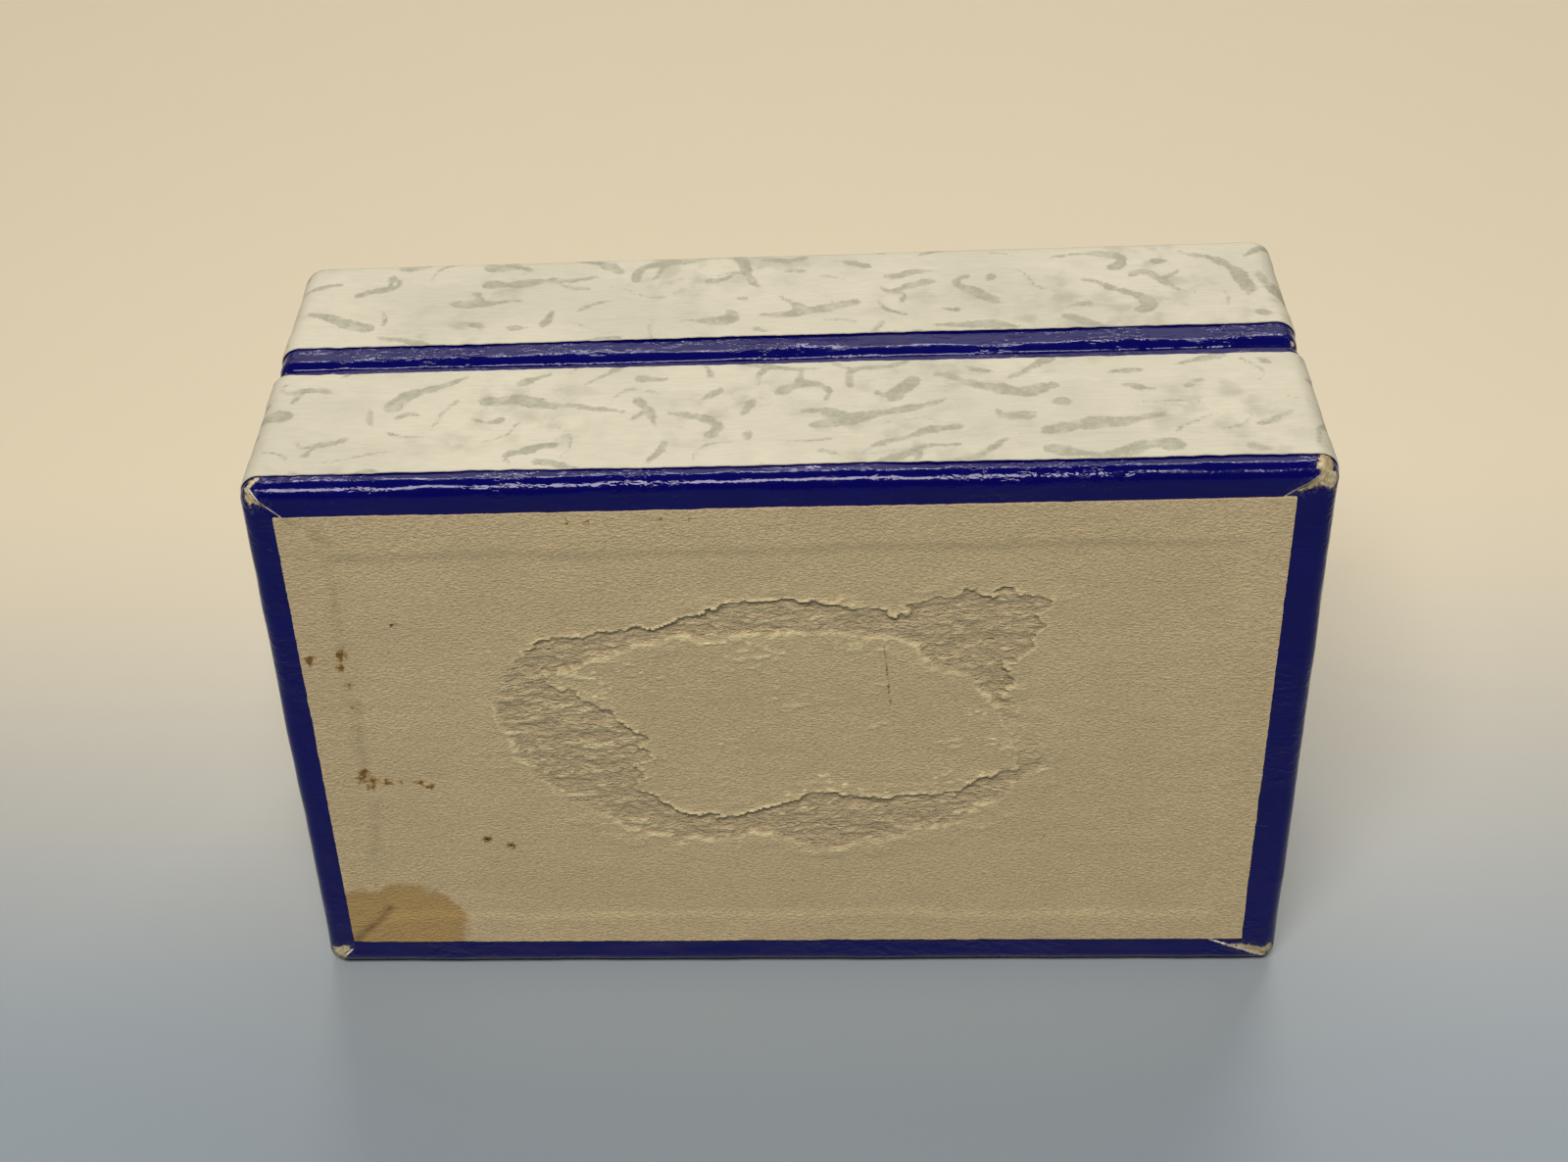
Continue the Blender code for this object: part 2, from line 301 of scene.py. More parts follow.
class WallRing:
    """Columns round the four walls, from the middle of the lower side. Each has its place between the
    corner centres as shares sx and sz from -1 to 1, its outward direction nx, nz, and its distance p
    round the finished walls. The runs along the sides and round the corners give where sx, sz and the
    direction's angle start and end."""

    CORNER_SPACING = 0.35
    SMALLEST_RADIUS = 0.15
    RUNS = (
        ((0, 1), (-1, -1), (-90, -90)),
        ((1, 1), (-1, -1), (-90, 0)),
        ((1, 1), (-1, 1), (0, 0)),
        ((1, 1), (1, 1), (0, 90)),
        ((1, -1), (1, 1), (90, 90)),
        ((-1, -1), (1, 1), (90, 180)),
        ((-1, -1), (1, -1), (180, 180)),
        ((-1, -1), (-1, -1), (180, 270)),
        ((-1, 0), (-1, -1), (270, 270)),
    )

    def __init__(self, spacing):
        radius = mm("corner_r")
        half_x = LENGTH / 2 - radius
        half_z = WIDTH / 2 - radius
        sx, sz, angle, p = [], [], [], []
        start = 0.0
        self.corner_p = []
        for run_x, run_z, run_angle in self.RUNS:
            straight = abs(run_x[1] - run_x[0]) * half_x + abs(run_z[1] - run_z[0]) * half_z
            bend = radians(run_angle[1] - run_angle[0]) * radius
            spacing_here = spacing if straight else min(spacing, self.CORNER_SPACING)
            count = int(np.ceil((straight + bend) / spacing_here))
            share = np.arange(count) / count
            sx.append(run_x[0] + (run_x[1] - run_x[0]) * share)
            sz.append(run_z[0] + (run_z[1] - run_z[0]) * share)
            angle.append(np.radians(run_angle[0] + (run_angle[1] - run_angle[0]) * share))
            p.append(start + (straight + bend) * share)
            if bend:
                self.corner_p.append(start + bend / 2)
            start += straight + bend
        self.sx = np.concatenate(sx)
        self.sz = np.concatenate(sz)
        self.nx = np.cos(np.concatenate(angle))
        self.nz = np.sin(np.concatenate(angle))
        self.p = np.concatenate(p)
        self.round = start
        self.radius = radius

    def place(self, inset):
        """X and Z of points at the given insets: the corner centre's share of the way, plus what is left
        of the corner radius outwards. Past the radius, a small fold radius is kept."""
        radius = np.maximum(self.radius - inset, self.SMALLEST_RADIUS)
        x = self.sx * (LENGTH / 2 - inset - radius) + self.nx * radius
        z = WIDTH / 2 + self.sz * (WIDTH / 2 - inset - radius) + self.nz * radius
        return x, z


def side_line(side, t, inset, radius):
    """X, Z and the outward direction on one side, at shares t from -1 to 1 between its two mitres. At
    each inset the line runs straight between the corner centres and then an eighth of a circle into
    each corner, so its ends lie on the corners' bisecting lines."""
    half_along, half_across = LENGTH / 2, WIDTH / 2
    if side in ("left", "right"):
        half_along, half_across = half_across, half_along
    inset = np.broadcast_to(inset, np.broadcast_shapes(np.shape(t), np.shape(inset)))
    straight = half_along - np.maximum(radius, inset)
    left = np.maximum(radius - inset, 0.0)
    s = t * (straight + left * pi / 4)
    past = np.maximum(np.abs(s) - straight, 0.0)
    q = np.where(left > 1e-6, past / np.maximum(left, 1e-6), 0.0)
    along = np.sign(s) * (np.minimum(np.abs(s), straight) + left * np.sin(q))
    across = half_across - inset - left * (1 - np.cos(q))
    n_along = np.sign(s) * np.sin(q)
    n_across = np.cos(q)
    end_gap = straight + left * pi / 4 - np.abs(s)
    sign = 1 if side in ("upper", "right") else -1
    if side in ("upper", "lower"):
        return along, WIDTH / 2 + sign * across, n_along, sign * n_across, end_gap
    return sign * across, WIDTH / 2 + along, sign * n_across, n_along, end_gap


def grid_faces(rows, columns, close_rows, close_columns):
    """Four corners for each face of a grid of points, numbered row by row."""
    j = np.arange(rows if close_rows else rows - 1)[:, None]
    k = np.arange(columns if close_columns else columns - 1)[None, :]
    j1 = (j + 1) % rows
    k1 = (k + 1) % columns
    j, k, j1, k1 = np.broadcast_arrays(j, k, j1, k1)
    corners = [j * columns + k, j * columns + k1, j1 * columns + k1, j1 * columns + k]
    return np.stack(corners, axis=-1).reshape(-1, 4)


def enclosed_volume(points, quads):
    """The volume inside a mesh of quads: a sixth of the sum of the corners' triple products. A missing
    cap leaves its sign as it is, because the pieces lie to one side of the middle and face away."""
    a, b, c, d = (points[quads[:, i]] for i in range(4))
    return (np.einsum("ij,ij->", a, np.cross(b, c)) + np.einsum("ij,ij->", a, np.cross(c, d))) / 6


# Creases sharper than this, in degrees, aren't shaded smooth
SHARP_FROM = 50
# How many rows of points the unseen inner faces of rings and of strips have
RING_INNER_ROWS = 14
STRIP_INNER_ROWS = 18


def new_piece(name, points, quads, caps, materials, face_kinds, fields, tray_body, replaced):
    """Makes a piece from points in millimetres, four-cornered faces with the numbers of their materials,
    and a few many-cornered caps of the first material. Faces are turned round if they enclose less than
    nothing, so they point outwards. The materials read the fields, which have a value at each point."""
    points = np.ascontiguousarray(points, dtype=float)
    if not np.isfinite(points).all():
        raise RuntimeError(f"{name} has points with no place")
    if enclosed_volume(points, quads) < 0:
        quads = quads[:, ::-1]
        caps = [cap[::-1] for cap in caps]
    corner_counts = np.concatenate([np.full(len(quads), 4), [len(cap) for cap in caps]]).astype(np.int32)
    corner_points = np.concatenate([quads.ravel(), *caps]).astype(np.int32)
    mesh = bpy.data.meshes.new(name)
    mesh.vertices.add(len(points))
    mesh.vertices.foreach_set("co", (points * MM).astype(np.float32).ravel())
    mesh.loops.add(len(corner_points))
    mesh.loops.foreach_set("vertex_index", corner_points)
    mesh.polygons.add(len(corner_counts))
    mesh.polygons.foreach_set("loop_start", (np.cumsum(corner_counts) - corner_counts).astype(np.int32))
    for material in materials:
        mesh.materials.append(material)
    kinds = np.concatenate([face_kinds, np.zeros(len(caps))]).astype(np.int32)
    mesh.polygons.foreach_set("material_index", kinds)
    mesh.update(calc_edges=True)
    if mesh.validate():
        raise RuntimeError(f"{name} had faces that Blender had to mend")
    mesh.shade_smooth()
    mesh.set_sharp_from_angle(angle=radians(SHARP_FROM))
    for key, values in fields.items():
        layer = mesh.attributes.new(key, "FLOAT", "POINT")
        layer.data.foreach_set("value", np.ascontiguousarray(values, dtype=np.float32).ravel())
    thing = bpy.data.objects.new(name, mesh)
    bpy.context.scene.collection.objects.link(thing)
    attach(thing, tray_body)
    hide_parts(*replaced)


def folded_paper(node, tray, materials, front, out, thickness, inner_rows, closed, fields):
    """A thin folded paper, made from its front face as rows of points with outward directions. The inner
    face has so many of these rows only, moved in by the thickness. A paper that isn't closed round the
    walls gets a cap at either end. Its cut edges and inner face take the second material."""
    rows, columns = front.shape[:2]
    inner = np.unique(np.round(np.linspace(0, rows - 1, inner_rows)).astype(int))
    points = np.concatenate([front, (front[inner] - out[inner] * thickness)[::-1]])
    fields = {key: np.concatenate([field, field[inner][::-1]]) for key, field in fields.items()}
    rows_around = len(points)
    kinds = np.ones((rows_around, columns if closed else columns - 1), int)
    kinds[: rows - 1] = 0
    caps = []
    if not closed:
        one_end = np.arange(rows_around) * columns
        caps = [one_end, (one_end + columns - 1)[::-1]]
    new_piece(
        "paper_" + node, points.reshape(-1, 3), grid_faces(rows_around, columns, True, closed), caps,
        materials, kinds.ravel(), fields, tray.name, [node],
    )


def ring_piece(node, tray, materials, section, ring, rows, low_w, high_w, relief, thickness, fields):
    """A band of paper round all four walls. Its front is the section's line between the distances low_w
    and high_w of each column, moved outwards by the relief. The relief and the fields are functions of
    the distances along the section and round the walls."""
    share = (rows - rows[0]) / (rows[-1] - rows[0])
    w = low_w[None, :] + (high_w - low_w)[None, :] * share[:, None]
    p = ring.p[None, :] + 0 * w
    inset, depth, out_wall, out_panel = section.at(w)
    x, z = ring.place(inset)
    out = np.stack([-out_wall * ring.nx, tray.into * out_panel, -out_wall * ring.nz], axis=-1)
    front = np.stack([x, tray.y(depth), z], axis=-1) + out * relief(w, p)[..., None]
    values = {key: field(w, p) for key, field in fields.items()}
    folded_paper(node, tray, materials, front, out, thickness, RING_INNER_ROWS, True, values)


def cut_line(p, seed, amount):
    """How far a cut edge strays at distances p along it: slow waves of the hand and short nicks of the
    blade in the fibres."""
    slow = value_noise(p, 0 * p, 17.0, 1.0, seed)
    fibres = value_noise(p, 0 * p, 1.3, 1.0, seed + 1)
    nicks = value_noise(p, 0 * p, 0.45, 1.0, seed + 2)
    return amount * (0.75 * slow + 0.45 * fibres + 0.3 * nicks)


# Materials

def give(tree, node, inputs):
    """Gives each of a node's inputs a value or another node's output."""
    for key, value in inputs.items():
        if isinstance(value, bpy.types.NodeSocket):
            tree.links.new(value, node.inputs[key])
        else:
            node.inputs[key].default_value = value


def add(tree, kind, inputs, **settings):
    """Adds a node with its inputs and settings."""
    made = tree.nodes.new(kind)
    for key, value in settings.items():
        setattr(made, key, value)
    give(tree, made, inputs)
    return made


def new_material(name):
    material = bpy.data.materials.new(name)
    material.use_nodes = True
    tree = material.node_tree
    return material, tree, tree.nodes["Principled BSDF"]


def place_mm(tree, stretch=(1.0, 1.0, 1.0)):
    """Object coordinates in millimetres, drawn out along an axis where its stretch is under 1."""
    where = add(tree, "ShaderNodeTexCoord", {}).outputs["Object"]
    scale = tuple(s / MM for s in stretch)
    return add(tree, "ShaderNodeMapping", {"Vector": where, "Scale": scale}).outputs["Vector"]


def attribute(tree, name):
    return add(tree, "ShaderNodeAttribute", {}, attribute_name=name).outputs["Fac"]


def calc(tree, operation, a, b):
    return add(tree, "ShaderNodeMath", {0: a, 1: b}, operation=operation).outputs[0]


def times(tree, *values):
    """The product of some values, each a number or an output."""
    return reduce(lambda a, b: calc(tree, "MULTIPLY", a, b), values)


def plus(tree, *values):
    """The sum of some values, each a number or an output."""
    return reduce(lambda a, b: calc(tree, "ADD", a, b), values)


def noise(tree, where, cell_mm, detail=3.0, roughness=0.55, distortion=0.0):
    """Noise whose blotches are about cell_mm across, from 0 to 1."""
    inputs = {
        "Vector": where,
        "Scale": 1.0 / cell_mm,
        "Detail": detail,
        "Roughness": roughness,
        "Distortion": distortion,
    }
    return add(tree, "ShaderNodeTexNoise", inputs).outputs["Fac"]


def stray(tree, where, amount, cell_mm, detail=4.0, roughness=0.55):
    """Noise about 0, which goes up to half the amount either way."""
    return times(tree, calc(tree, "SUBTRACT", noise(tree, where, cell_mm, detail, roughness), 0.5), amount)


def ragged(tree, where, name, amount, cell_mm, roughness=0.55):
    """A field of distances with noise about 0 added, which makes its outline ragged."""
    return plus(tree, attribute(tree, name), stray(tree, where, amount, cell_mm, roughness=roughness))


def spread(tree, value, low, high, to_low=0.0, to_high=1.0):
    """Maps a value from one range to another, smoothly and without running past its ends."""
    inputs = {"Value": value, "From Min": low, "From Max": high, "To Min": to_low, "To Max": to_high}
    return add(tree, "ShaderNodeMapRange", inputs, interpolation_type="SMOOTHSTEP").outputs["Result"]


def blend(tree, share, a, b, how="MIX"):
    """Blends two colours; a and b are linear colours or outputs."""
    a, b = ((*c, 1.0) if isinstance(c, tuple) else c for c in (a, b))
    return add(tree, "ShaderNodeMix", {0: share, 6: a, 7: b}, data_type="RGBA", blend_type=how).outputs[2]


def scaled(rgb, factor):
    return tuple(min(1.0, c * factor) for c in rgb)


def tones(tree, share, tone, low, high):
    """A colour between two strengths of one tone."""
    return blend(tree, share, scaled(tone, low), scaled(tone, high))


def coated(tree, ground, *coats):
    """A ground with coats over it, each given as how far it covers and its colour."""
    for share, tone in coats:
        ground = blend(tree, share, ground, tone)
    return ground


def fibre_bump(tree, shader, height, distance_mm):
    """Fine relief drawn by shading: the full height is distance_mm."""
    bump = add(tree, "ShaderNodeBump", {"Height": height, "Distance": distance_mm * MM, "Strength": 1.0})
    give(tree, shader, {"Normal": bump.outputs["Normal"]})


def flint_glazed_paper():
    """Flint-glazed paper: a pigment coat burnished with a stone. It gives a deep even blue with a sharp
    gloss that puckers with the glue, fine pale scuffs, cream fibre where the coat is rubbed off, and a
    white core along a cut end."""
    material, tree, shader = new_material("flint_glazed_paper")
    where = place_mm(tree)
    edge = stray(tree, where, 1.1, 0.5, 5.0, 0.7)
    bare_mm = plus(tree, attribute(tree, "bare_mm"), edge)
    worn = spread(tree, bare_mm, 0.08, -0.08)
    rubbed = spread(tree, plus(tree, bare_mm, edge), 0.9, 0.0)
    cut = spread(tree, plus(tree, attribute(tree, "cut_mm"), times(tree, edge, 0.16)), 0.11, 0.04)
    scuffed = spread(tree, noise(tree, where, 3.1, 4.0, 0.65), 0.66, 0.74)
    streaks = noise(tree, place_mm(tree, (0.35, 1.0, 1.6)), 0.5, 2.0)
    scuffs = times(tree, scuffed, spread(tree, streaks, 0.5, 0.62))
    fibre = noise(tree, where, 0.4, 5.0, 0.75)
    pale = blend(tree, 0.22, colour("glaze"), colour("bare"))
    blue = coated(
        tree, tones(tree, noise(tree, where, 7.0), colour("glaze"), 0.8, 1.25),
        (times(tree, scuffs, 0.5), pale),
        (times(tree, rubbed, spread(tree, fibre, 0.45, 0.65, 0.0, 0.5)), pale),
    )
    high = spread(tree, noise(tree, where, 1.3, 3.0), 0.35, 0.6)
    bare = tones(tree, spread(tree, fibre, 0.3, 0.65), colour("bare"), 0.5, 1.1)
    bare = blend(tree, high, blend(tree, 1.0, bare, (0.66, 0.6, 0.5), "MULTIPLY"), bare)
    rough = plus(
        tree, spread(tree, noise(tree, where, 1.6), 0.3, 0.7, 0.08, 0.16),
        times(tree, scuffs, 0.25),
        times(tree, calc(tree, "MAXIMUM", worn, cut), 0.65),
    )
    give(tree, shader, {
        "Base Color": coated(tree, blue, (cut, colour("cut")), (worn, bare)),
        "Roughness": rough,
        "IOR": 1.38,
        "Specular Tint": (0.78, 0.76, 1.0, 1.0),
    })
    pucker = noise(tree, place_mm(tree, (0.55, 1.0, 1.0)), 0.8, 2.0, 0.6, 0.6)
    puckered = spread(tree, noise(tree, where, 9.0, 2.0), 0.44, 0.6, 0.22, 1.0)
    fibre_bump(tree, shader, plus(tree, times(tree, pucker, puckered), times(tree, worn, fibre)), 0.17)
    return material


def brush_marked_paper():
    """Coated wrap paper, printed with sage grey brush marks. It gives an off-white ground with faint
    streaks, clouds and specks, softly mottled marks, and a low sheen."""
    material, tree, shader = new_material("brush_marked_paper")
    where = place_mm(tree)
    streaky = place_mm(tree, (0.22, 1.3, 0.22))
    mark = spread(tree, ragged(tree, where, "mark_mm", 0.8, 0.55, 0.65), 0.13, -0.21)
    density = spread(tree, noise(tree, where, 1.7, 5.0, 0.68), 0.33, 0.6, 0.42, 1.0)
    dry = spread(tree, noise(tree, where, 0.35, 3.0, 0.65), 0.34, 0.56, 0.72, 1.0)
    clouds = spread(tree, noise(tree, where, 12.0, 3.0), 0.46, 0.66)
    smudge = times(tree, clouds, spread(tree, noise(tree, where, 2.6, 4.0), 0.40, 0.66, 0.0, 0.55))
    tint = spread(tree, noise(tree, where, 17.0, 2.0), 0.35, 0.65)
    speck = spread(tree, noise(tree, where, 0.8, 1.0), 0.80, 0.83, 0.0, 0.55)
    ground = coated(
        tree, tones(tree, tint, colour("wrap"), 0.95, 1.06),
        (smudge, colour("mark")),
        (times(tree, mark, density, dry), colour("mark")),
        (speck, scaled(colour("mark"), 0.35)),
    )
    streaks = spread(tree, noise(tree, streaky, 0.45, 3.0), 0.3, 0.7, 0.955, 1.03)
    grey = add(tree, "ShaderNodeCombineColor", dict.fromkeys(("Red", "Green", "Blue"), streaks)).outputs[0]
    give(tree, shader, {
        "Base Color": blend(tree, 1.0, ground, grey, "MULTIPLY"),
        "Roughness": spread(tree, noise(tree, where, 3.0), 0.3, 0.7, 0.42, 0.56),
        "IOR": 1.45,
    })
    fibre_bump(tree, shader, noise(tree, streaky, 0.3, 4.0, 0.65), 0.025)
    return material


def cut_paper_core():
    """The sheared edge of the papers: white, matt and furred with short fibres."""
    material, tree, shader = new_material("cut_paper_core")
    fibre = noise(tree, place_mm(tree), 0.25, 4.0, 0.7)
    give(tree, shader, {"Base Color": tones(tree, fibre, colour("cut"), 0.8, 1.0), "Roughness": 0.9})
    fibre_bump(tree, shader, fibre, 0.03)
    return material


def edging_underside():
    """The uncoated back and cut edge of the edging paper: blue-stained fibre, matt."""
    material, tree, shader = new_material("edging_underside")
    fibre = noise(tree, place_mm(tree), 0.25, 4.0, 0.7)
    stained = tuple(0.5 * a + 0.12 * b for a, b in zip(colour("glaze"), colour("cut")))
    give(tree, shader, {"Base Color": tones(tree, fibre, stained, 0.6, 1.0), "Roughness": 0.85})
    return material


def pulp_sheet_paper():
    """Pulp board paper: unbleached, machine-laid and unglazed. It gives a matt tan with fine wavy fibres
    that lie along the sheet, paler tufts and dark flecks, rough inner plies where it is torn, with
    painted shade in their hollows, a painted shadow under the sharp rims and a partly painted
    highlight on raised places, a dried stain with a tide line, rust-brown spots, dirt and darkened
    creases."""
    material, tree, shader = new_material("pulp_sheet_paper")
    where = place_mm(tree)
    laid = place_mm(tree, (0.55, 1.0, 1.15))
    pulp = colour("pulp")
    fibres = noise(tree, laid, 0.24, 2.0, 0.62, 0.6)
    fine = noise(tree, laid, 0.15, 2.0, 0.6, 0.4)
    fleck = noise(tree, place_mm(tree, (0.6, 1.0, 1.3)), 0.5, 2.0)
    clouds = spread(tree, noise(tree, where, 9.0, 5.0, 0.6), 0.3, 0.7)
    sheet = coated(
        tree, tones(tree, spread(tree, fibres, 0.3, 0.7), pulp, 0.86, 1.1),
        (times(tree, clouds, 0.3), scaled(pulp, 0.8)),
        (spread(tree, fine, 0.56, 0.7, 0.0, 0.45), scaled(pulp, 1.4)),
        (spread(tree, fleck, 0.69, 0.75, 0.0, 0.45), scaled(pulp, 0.42)),
    )
    torn = spread(tree, attribute(tree, "torn"), 0.1, 0.8)
    shag = noise(tree, place_mm(tree, (0.5, 1.0, 1.2)), 0.62, 3.0, 0.62, 0.9)
    # The fine detail paints light and shade: a darker copy of the torn pulp is painted shade in the hollows
    # and a painted shadow under the sharp rims, and the lip colour on raised places and tufts is paler clean
    # fibre, partly a painted highlight.
    detail = attribute(tree, "detail")
    sheet = coated(
        tree, sheet,
        (times(tree, torn, 0.55), tones(tree, spread(tree, shag, 0.36, 0.62), colour("torn"), 0.8, 1.15)),
        (spread(tree, detail, -0.35, -1.0, 0.0, 0.22), scaled(colour("torn"), 0.42)),
        (spread(tree, detail, 0.2, 0.95, 0.0, 0.85), colour("lip")),
    )
    soak = ragged(tree, where, "stain_mm", 4.0, 3.5)
    stain = spread(tree, soak, 0.55, -0.5, 0.0, 0.7)
    tide = times(tree, spread(tree, soak, 0.25, -0.05), spread(tree, soak, -1.6, -0.2))
    stained = tones(tree, times(tree, tide, 0.45), colour("stain"), 1.0, 0.78)
    rust = ragged(tree, where, "rust_mm", 1.8, 0.5, 0.65)
    dirt = ragged(tree, where, "dirt_mm", 0.5, 0.4)
    sheet = coated(
        tree, sheet,
        (stain, blend(tree, 0.5, sheet, stained, "MULTIPLY")),
        (times(tree, stain, 0.6), stained),
        (spread(tree, rust, 0.3, -0.1, 0.0, 0.6), colour("stain")),
        (spread(tree, rust, 0.08, -0.2, 0.0, 0.85), linear("#6E4A1E")),
        (spread(tree, dirt, 0.10, -0.08, 0.0, 0.9), linear("#33291C")),
        (times(tree, attribute(tree, "crease"), 0.75), linear("#5E4A2C")),
    )
    give(tree, shader, {"Base Color": sheet, "Roughness": 0.93, "IOR": 1.4})
    shreds = times(tree, torn, calc(tree, "SUBTRACT", shag, 0.5), 3.2)
    fibre_bump(tree, shader, plus(tree, fibres, shreds), 0.21)
    return material


def white_lining_paper():
    """Uncoated white lining paper, glued flat. It gives a soft matt white with faint clouds and a slight
    yellowing."""
    material, tree, shader = new_material("white_lining_paper")
    where = place_mm(tree)
    foxing = spread(tree, noise(tree, where, 4.0, 5.0, 0.7), 0.62, 0.74, 0.0, 0.35)
    white = tones(tree, noise(tree, where, 9.0, 4.0), colour("lining"), 0.88, 1.0)
    white = blend(tree, foxing, white, scaled(colour("bare"), 0.9))
    give(tree, shader, {"Base Color": white, "Roughness": 0.8})
    fibre_bump(tree, shader, noise(tree, where, 0.35, 4.0, 0.65), 0.03)
    return material


def fibre_board(name, tone, fleck_mm):
    """Board or brown paper of mixed waste pulp: matt, with a blend of light and dark flecks."""
    material, tree, shader = new_material(name)
    flecks = noise(tree, place_mm(tree), fleck_mm, 5.0, 0.75)
    mottled = tones(tree, spread(tree, flecks, 0.3, 0.7), tone, 0.7, 1.2)
    give(tree, shader, {"Base Color": mottled, "Roughness": 0.92})
    fibre_bump(tree, shader, flecks, 0.06)
    return material


def graduated_paint():
    """Satin emulsion, graded from a cool grey in front of the box to a warm cream behind it, with the
    faintest unevenness of a roller."""
    material, tree, shader = new_material("graduated_paint")
    where = place_mm(tree)
    along = add(tree, "ShaderNodeSeparateXYZ", {"Vector": where}).outputs["Y"]
    tone = blend(tree, spread(tree, along, -45.0, 75.0), colour("floor"), colour("backdrop"))
    dimmed = blend(tree, 0.015, tone, (0.0, 0.0, 0.0))
    rolled = blend(tree, noise(tree, where, 30.0, 3.0), tone, dimmed)
    give(tree, shader, {"Base Color": rolled, "Roughness": 0.42})
    return material


# Edging strips

# Wear at the base's corners. A place is given by its distances in from the nearer end of the box and
# from the nearer long side, in millimetres, unfolded round the edges, so less than 0 on the walls.
# "bare" outlines where the glaze is rubbed off, and "cut" is the end of the long strip, lapped over the
# short one.
CORNER_WEAR = {
    ("left", "upper"): {
        "bare": (
            (0.95, -0.35), (1.3, -0.95), (1.8, -1.3), (2.3, -1.15), (2.05, -0.65), (1.6, -0.15), (1.25, 0.2),
            (1.6, 0.85), (2.1, 1.5), (2.75, 2.1), (2.3, 2.0), (1.85, 1.9), (1.55, 1.65), (1.4, 2.25),
            (1.2, 1.7), (0.85, 1.7), (0.55, 1.2), (0.45, 0.6), (0.6, 0.0),
        ),
        "cut": ((1.3, 0.1), (1.8, 0.9), (2.4, 1.69), (3.05, 2.38), (4.05, 3.3)),
    },
    ("right", "upper"): {
        "bare": (
            (2.4, 0.4), (2.2, -0.5), (1.7, -1.5), (1.1, -1.7), (0.6, -0.7), (0.3, 0.4), (0.25, 1.8),
            (0.5, 2.6), (1.1, 2.7), (1.6, 2.4), (2.0, 2.1), (2.5, 2.5), (3.0, 2.55), (3.6, 2.72),
            (4.4, 2.9), (3.4, 2.1), (2.6, 1.45), (1.9, 0.85),
        ),
        "cut": ((0.9, 0.0), (1.85, 0.8), (2.56, 1.4), (3.42, 2.07), (4.21, 2.64), (5.2, 3.4)),
    },
    ("left", "lower"): {
        "bare": (
            (0.4, 2.6), (1.3, 2.95), (2.1, 3.2), (2.66, 3.1), (2.6, 2.5), (2.2, 1.9), (1.8, 1.1),
            (1.3, 0.3), (0.9, -0.1), (0.5, 0.5), (0.3, 1.4),
        ),
        "cut": ((2.0, 1.6), (2.5, 2.15), (2.9, 2.6)),
    },
    ("right", "lower"): {
        "bare": (
            (5.4, 2.85), (3.8, 2.8), (2.6, 2.6), (1.8, 2.45), (0.8, 2.9), (0.4, 2.5), (0.3, 1.6),
            (0.5, 0.7), (1.1, 0.7), (1.7, 1.2), (2.4, 1.5), (3.7, 2.05), (4.7, 2.5),
        ),
        "cut": ((8.0, 4.0), (6.2, 3.2), (4.73, 2.53), (3.49, 1.97), (2.35, 1.45), (1.0, 0.8)),
    },
}
LID_WEAR = {
    "bare": (
        (0.3, 1.4), (0.7, 1.8), (1.3, 1.6), (1.9, 1.0), (1.6, 0.3), (0.9, -0.5), (0.2, -0.6), (-0.5, 0.2),
        (-0.5, 0.9),
    ),
    "cut": ((1.2, 0.6), (2.0, 1.4), (2.8, 2.2), (3.7, 3.2)),
}
SIDE_ENDS = {
    "upper": ("left", "right"),
    "lower": ("left", "right"),
    "left": ("lower", "upper"),
    "right": ("lower", "upper"),
}
# Within this of a mitre, points lie close together
NEAR_MITRE = 7.5
# The turns of the fold over each rim, as shares of the rim's radius with degrees. The lid's is pressed
# to a blunt crease between two softer turns
RIM_TURNS = {"base": ((1.0, 90),), "lid": ((1.85, 36), (0.1, 16), (0.75, 38))}
RIM_INNER_RADIUS = 0.4
RIM_LEG_SHORTER = 0.3
RIM_SPACING = 0.45
# Worn spots on the rims: the corner's number, the distance along the strip, counted from where it is as
# long as its leg is high, and the radius
RIM_SCUFFS = {
    "base": ((1, 0.0, 0.3), (2, 0.0, 0.35), (0, 0.0, 0.3)),
    "lid": ((1, -0.7, 0.35), (1, 0.2, 0.25), (2, 0.1, 0.3), (3, 0.0, 0.3)),
}


def glue_ripples(u, v, slow_cells, short_cells, seed, short_seed):
    """The ripples in a glued-down strip: slow waves in two layers, and shorter ones over them."""
    slow = layered_noise(u, v, *slow_cells, seed, 2)
    return mm("ripple") * (slow + 0.45 * value_noise(u, v, *short_cells, short_seed))


def strip_wear(tray, side, nearer_end, from_end, from_side):
    """How far a strip's points lie outside its rubbed spots, off the line of its cut ends, and outside
    what these ends leave bare. nearer_end is -1 and 1 near the strip's two ends and 0 elsewhere. The
    last outline is the line of the cut, closed along the corner's bisecting line."""
    bare, cut, under = (np.full(from_end.shape, FAR) for _ in range(3))
    long_side = side in ("upper", "lower")
    for number, end in zip((-1, 1), SIDE_ENDS[side]):
        here = nearer_end == number
        a, b = from_end[here], from_side[here]
        corner = (end, side) if long_side else (side, end)
        wear = CORNER_WEAR[corner] if tray is BASE else LID_WEAR
        bare[here] = distance_to_outline(a, b, wear["bare"])
        if long_side:
            line = wear["cut"]
            first, last = line[0][1], line[-1][1]
            cut[here] = np.minimum.reduce([distance_to_line(a, b, p, q) for p, q in zip(line, line[1:])])
            under[here] = distance_to_outline(a, b, (*line, (last, last), (first, first)))
    return bare, cut, under


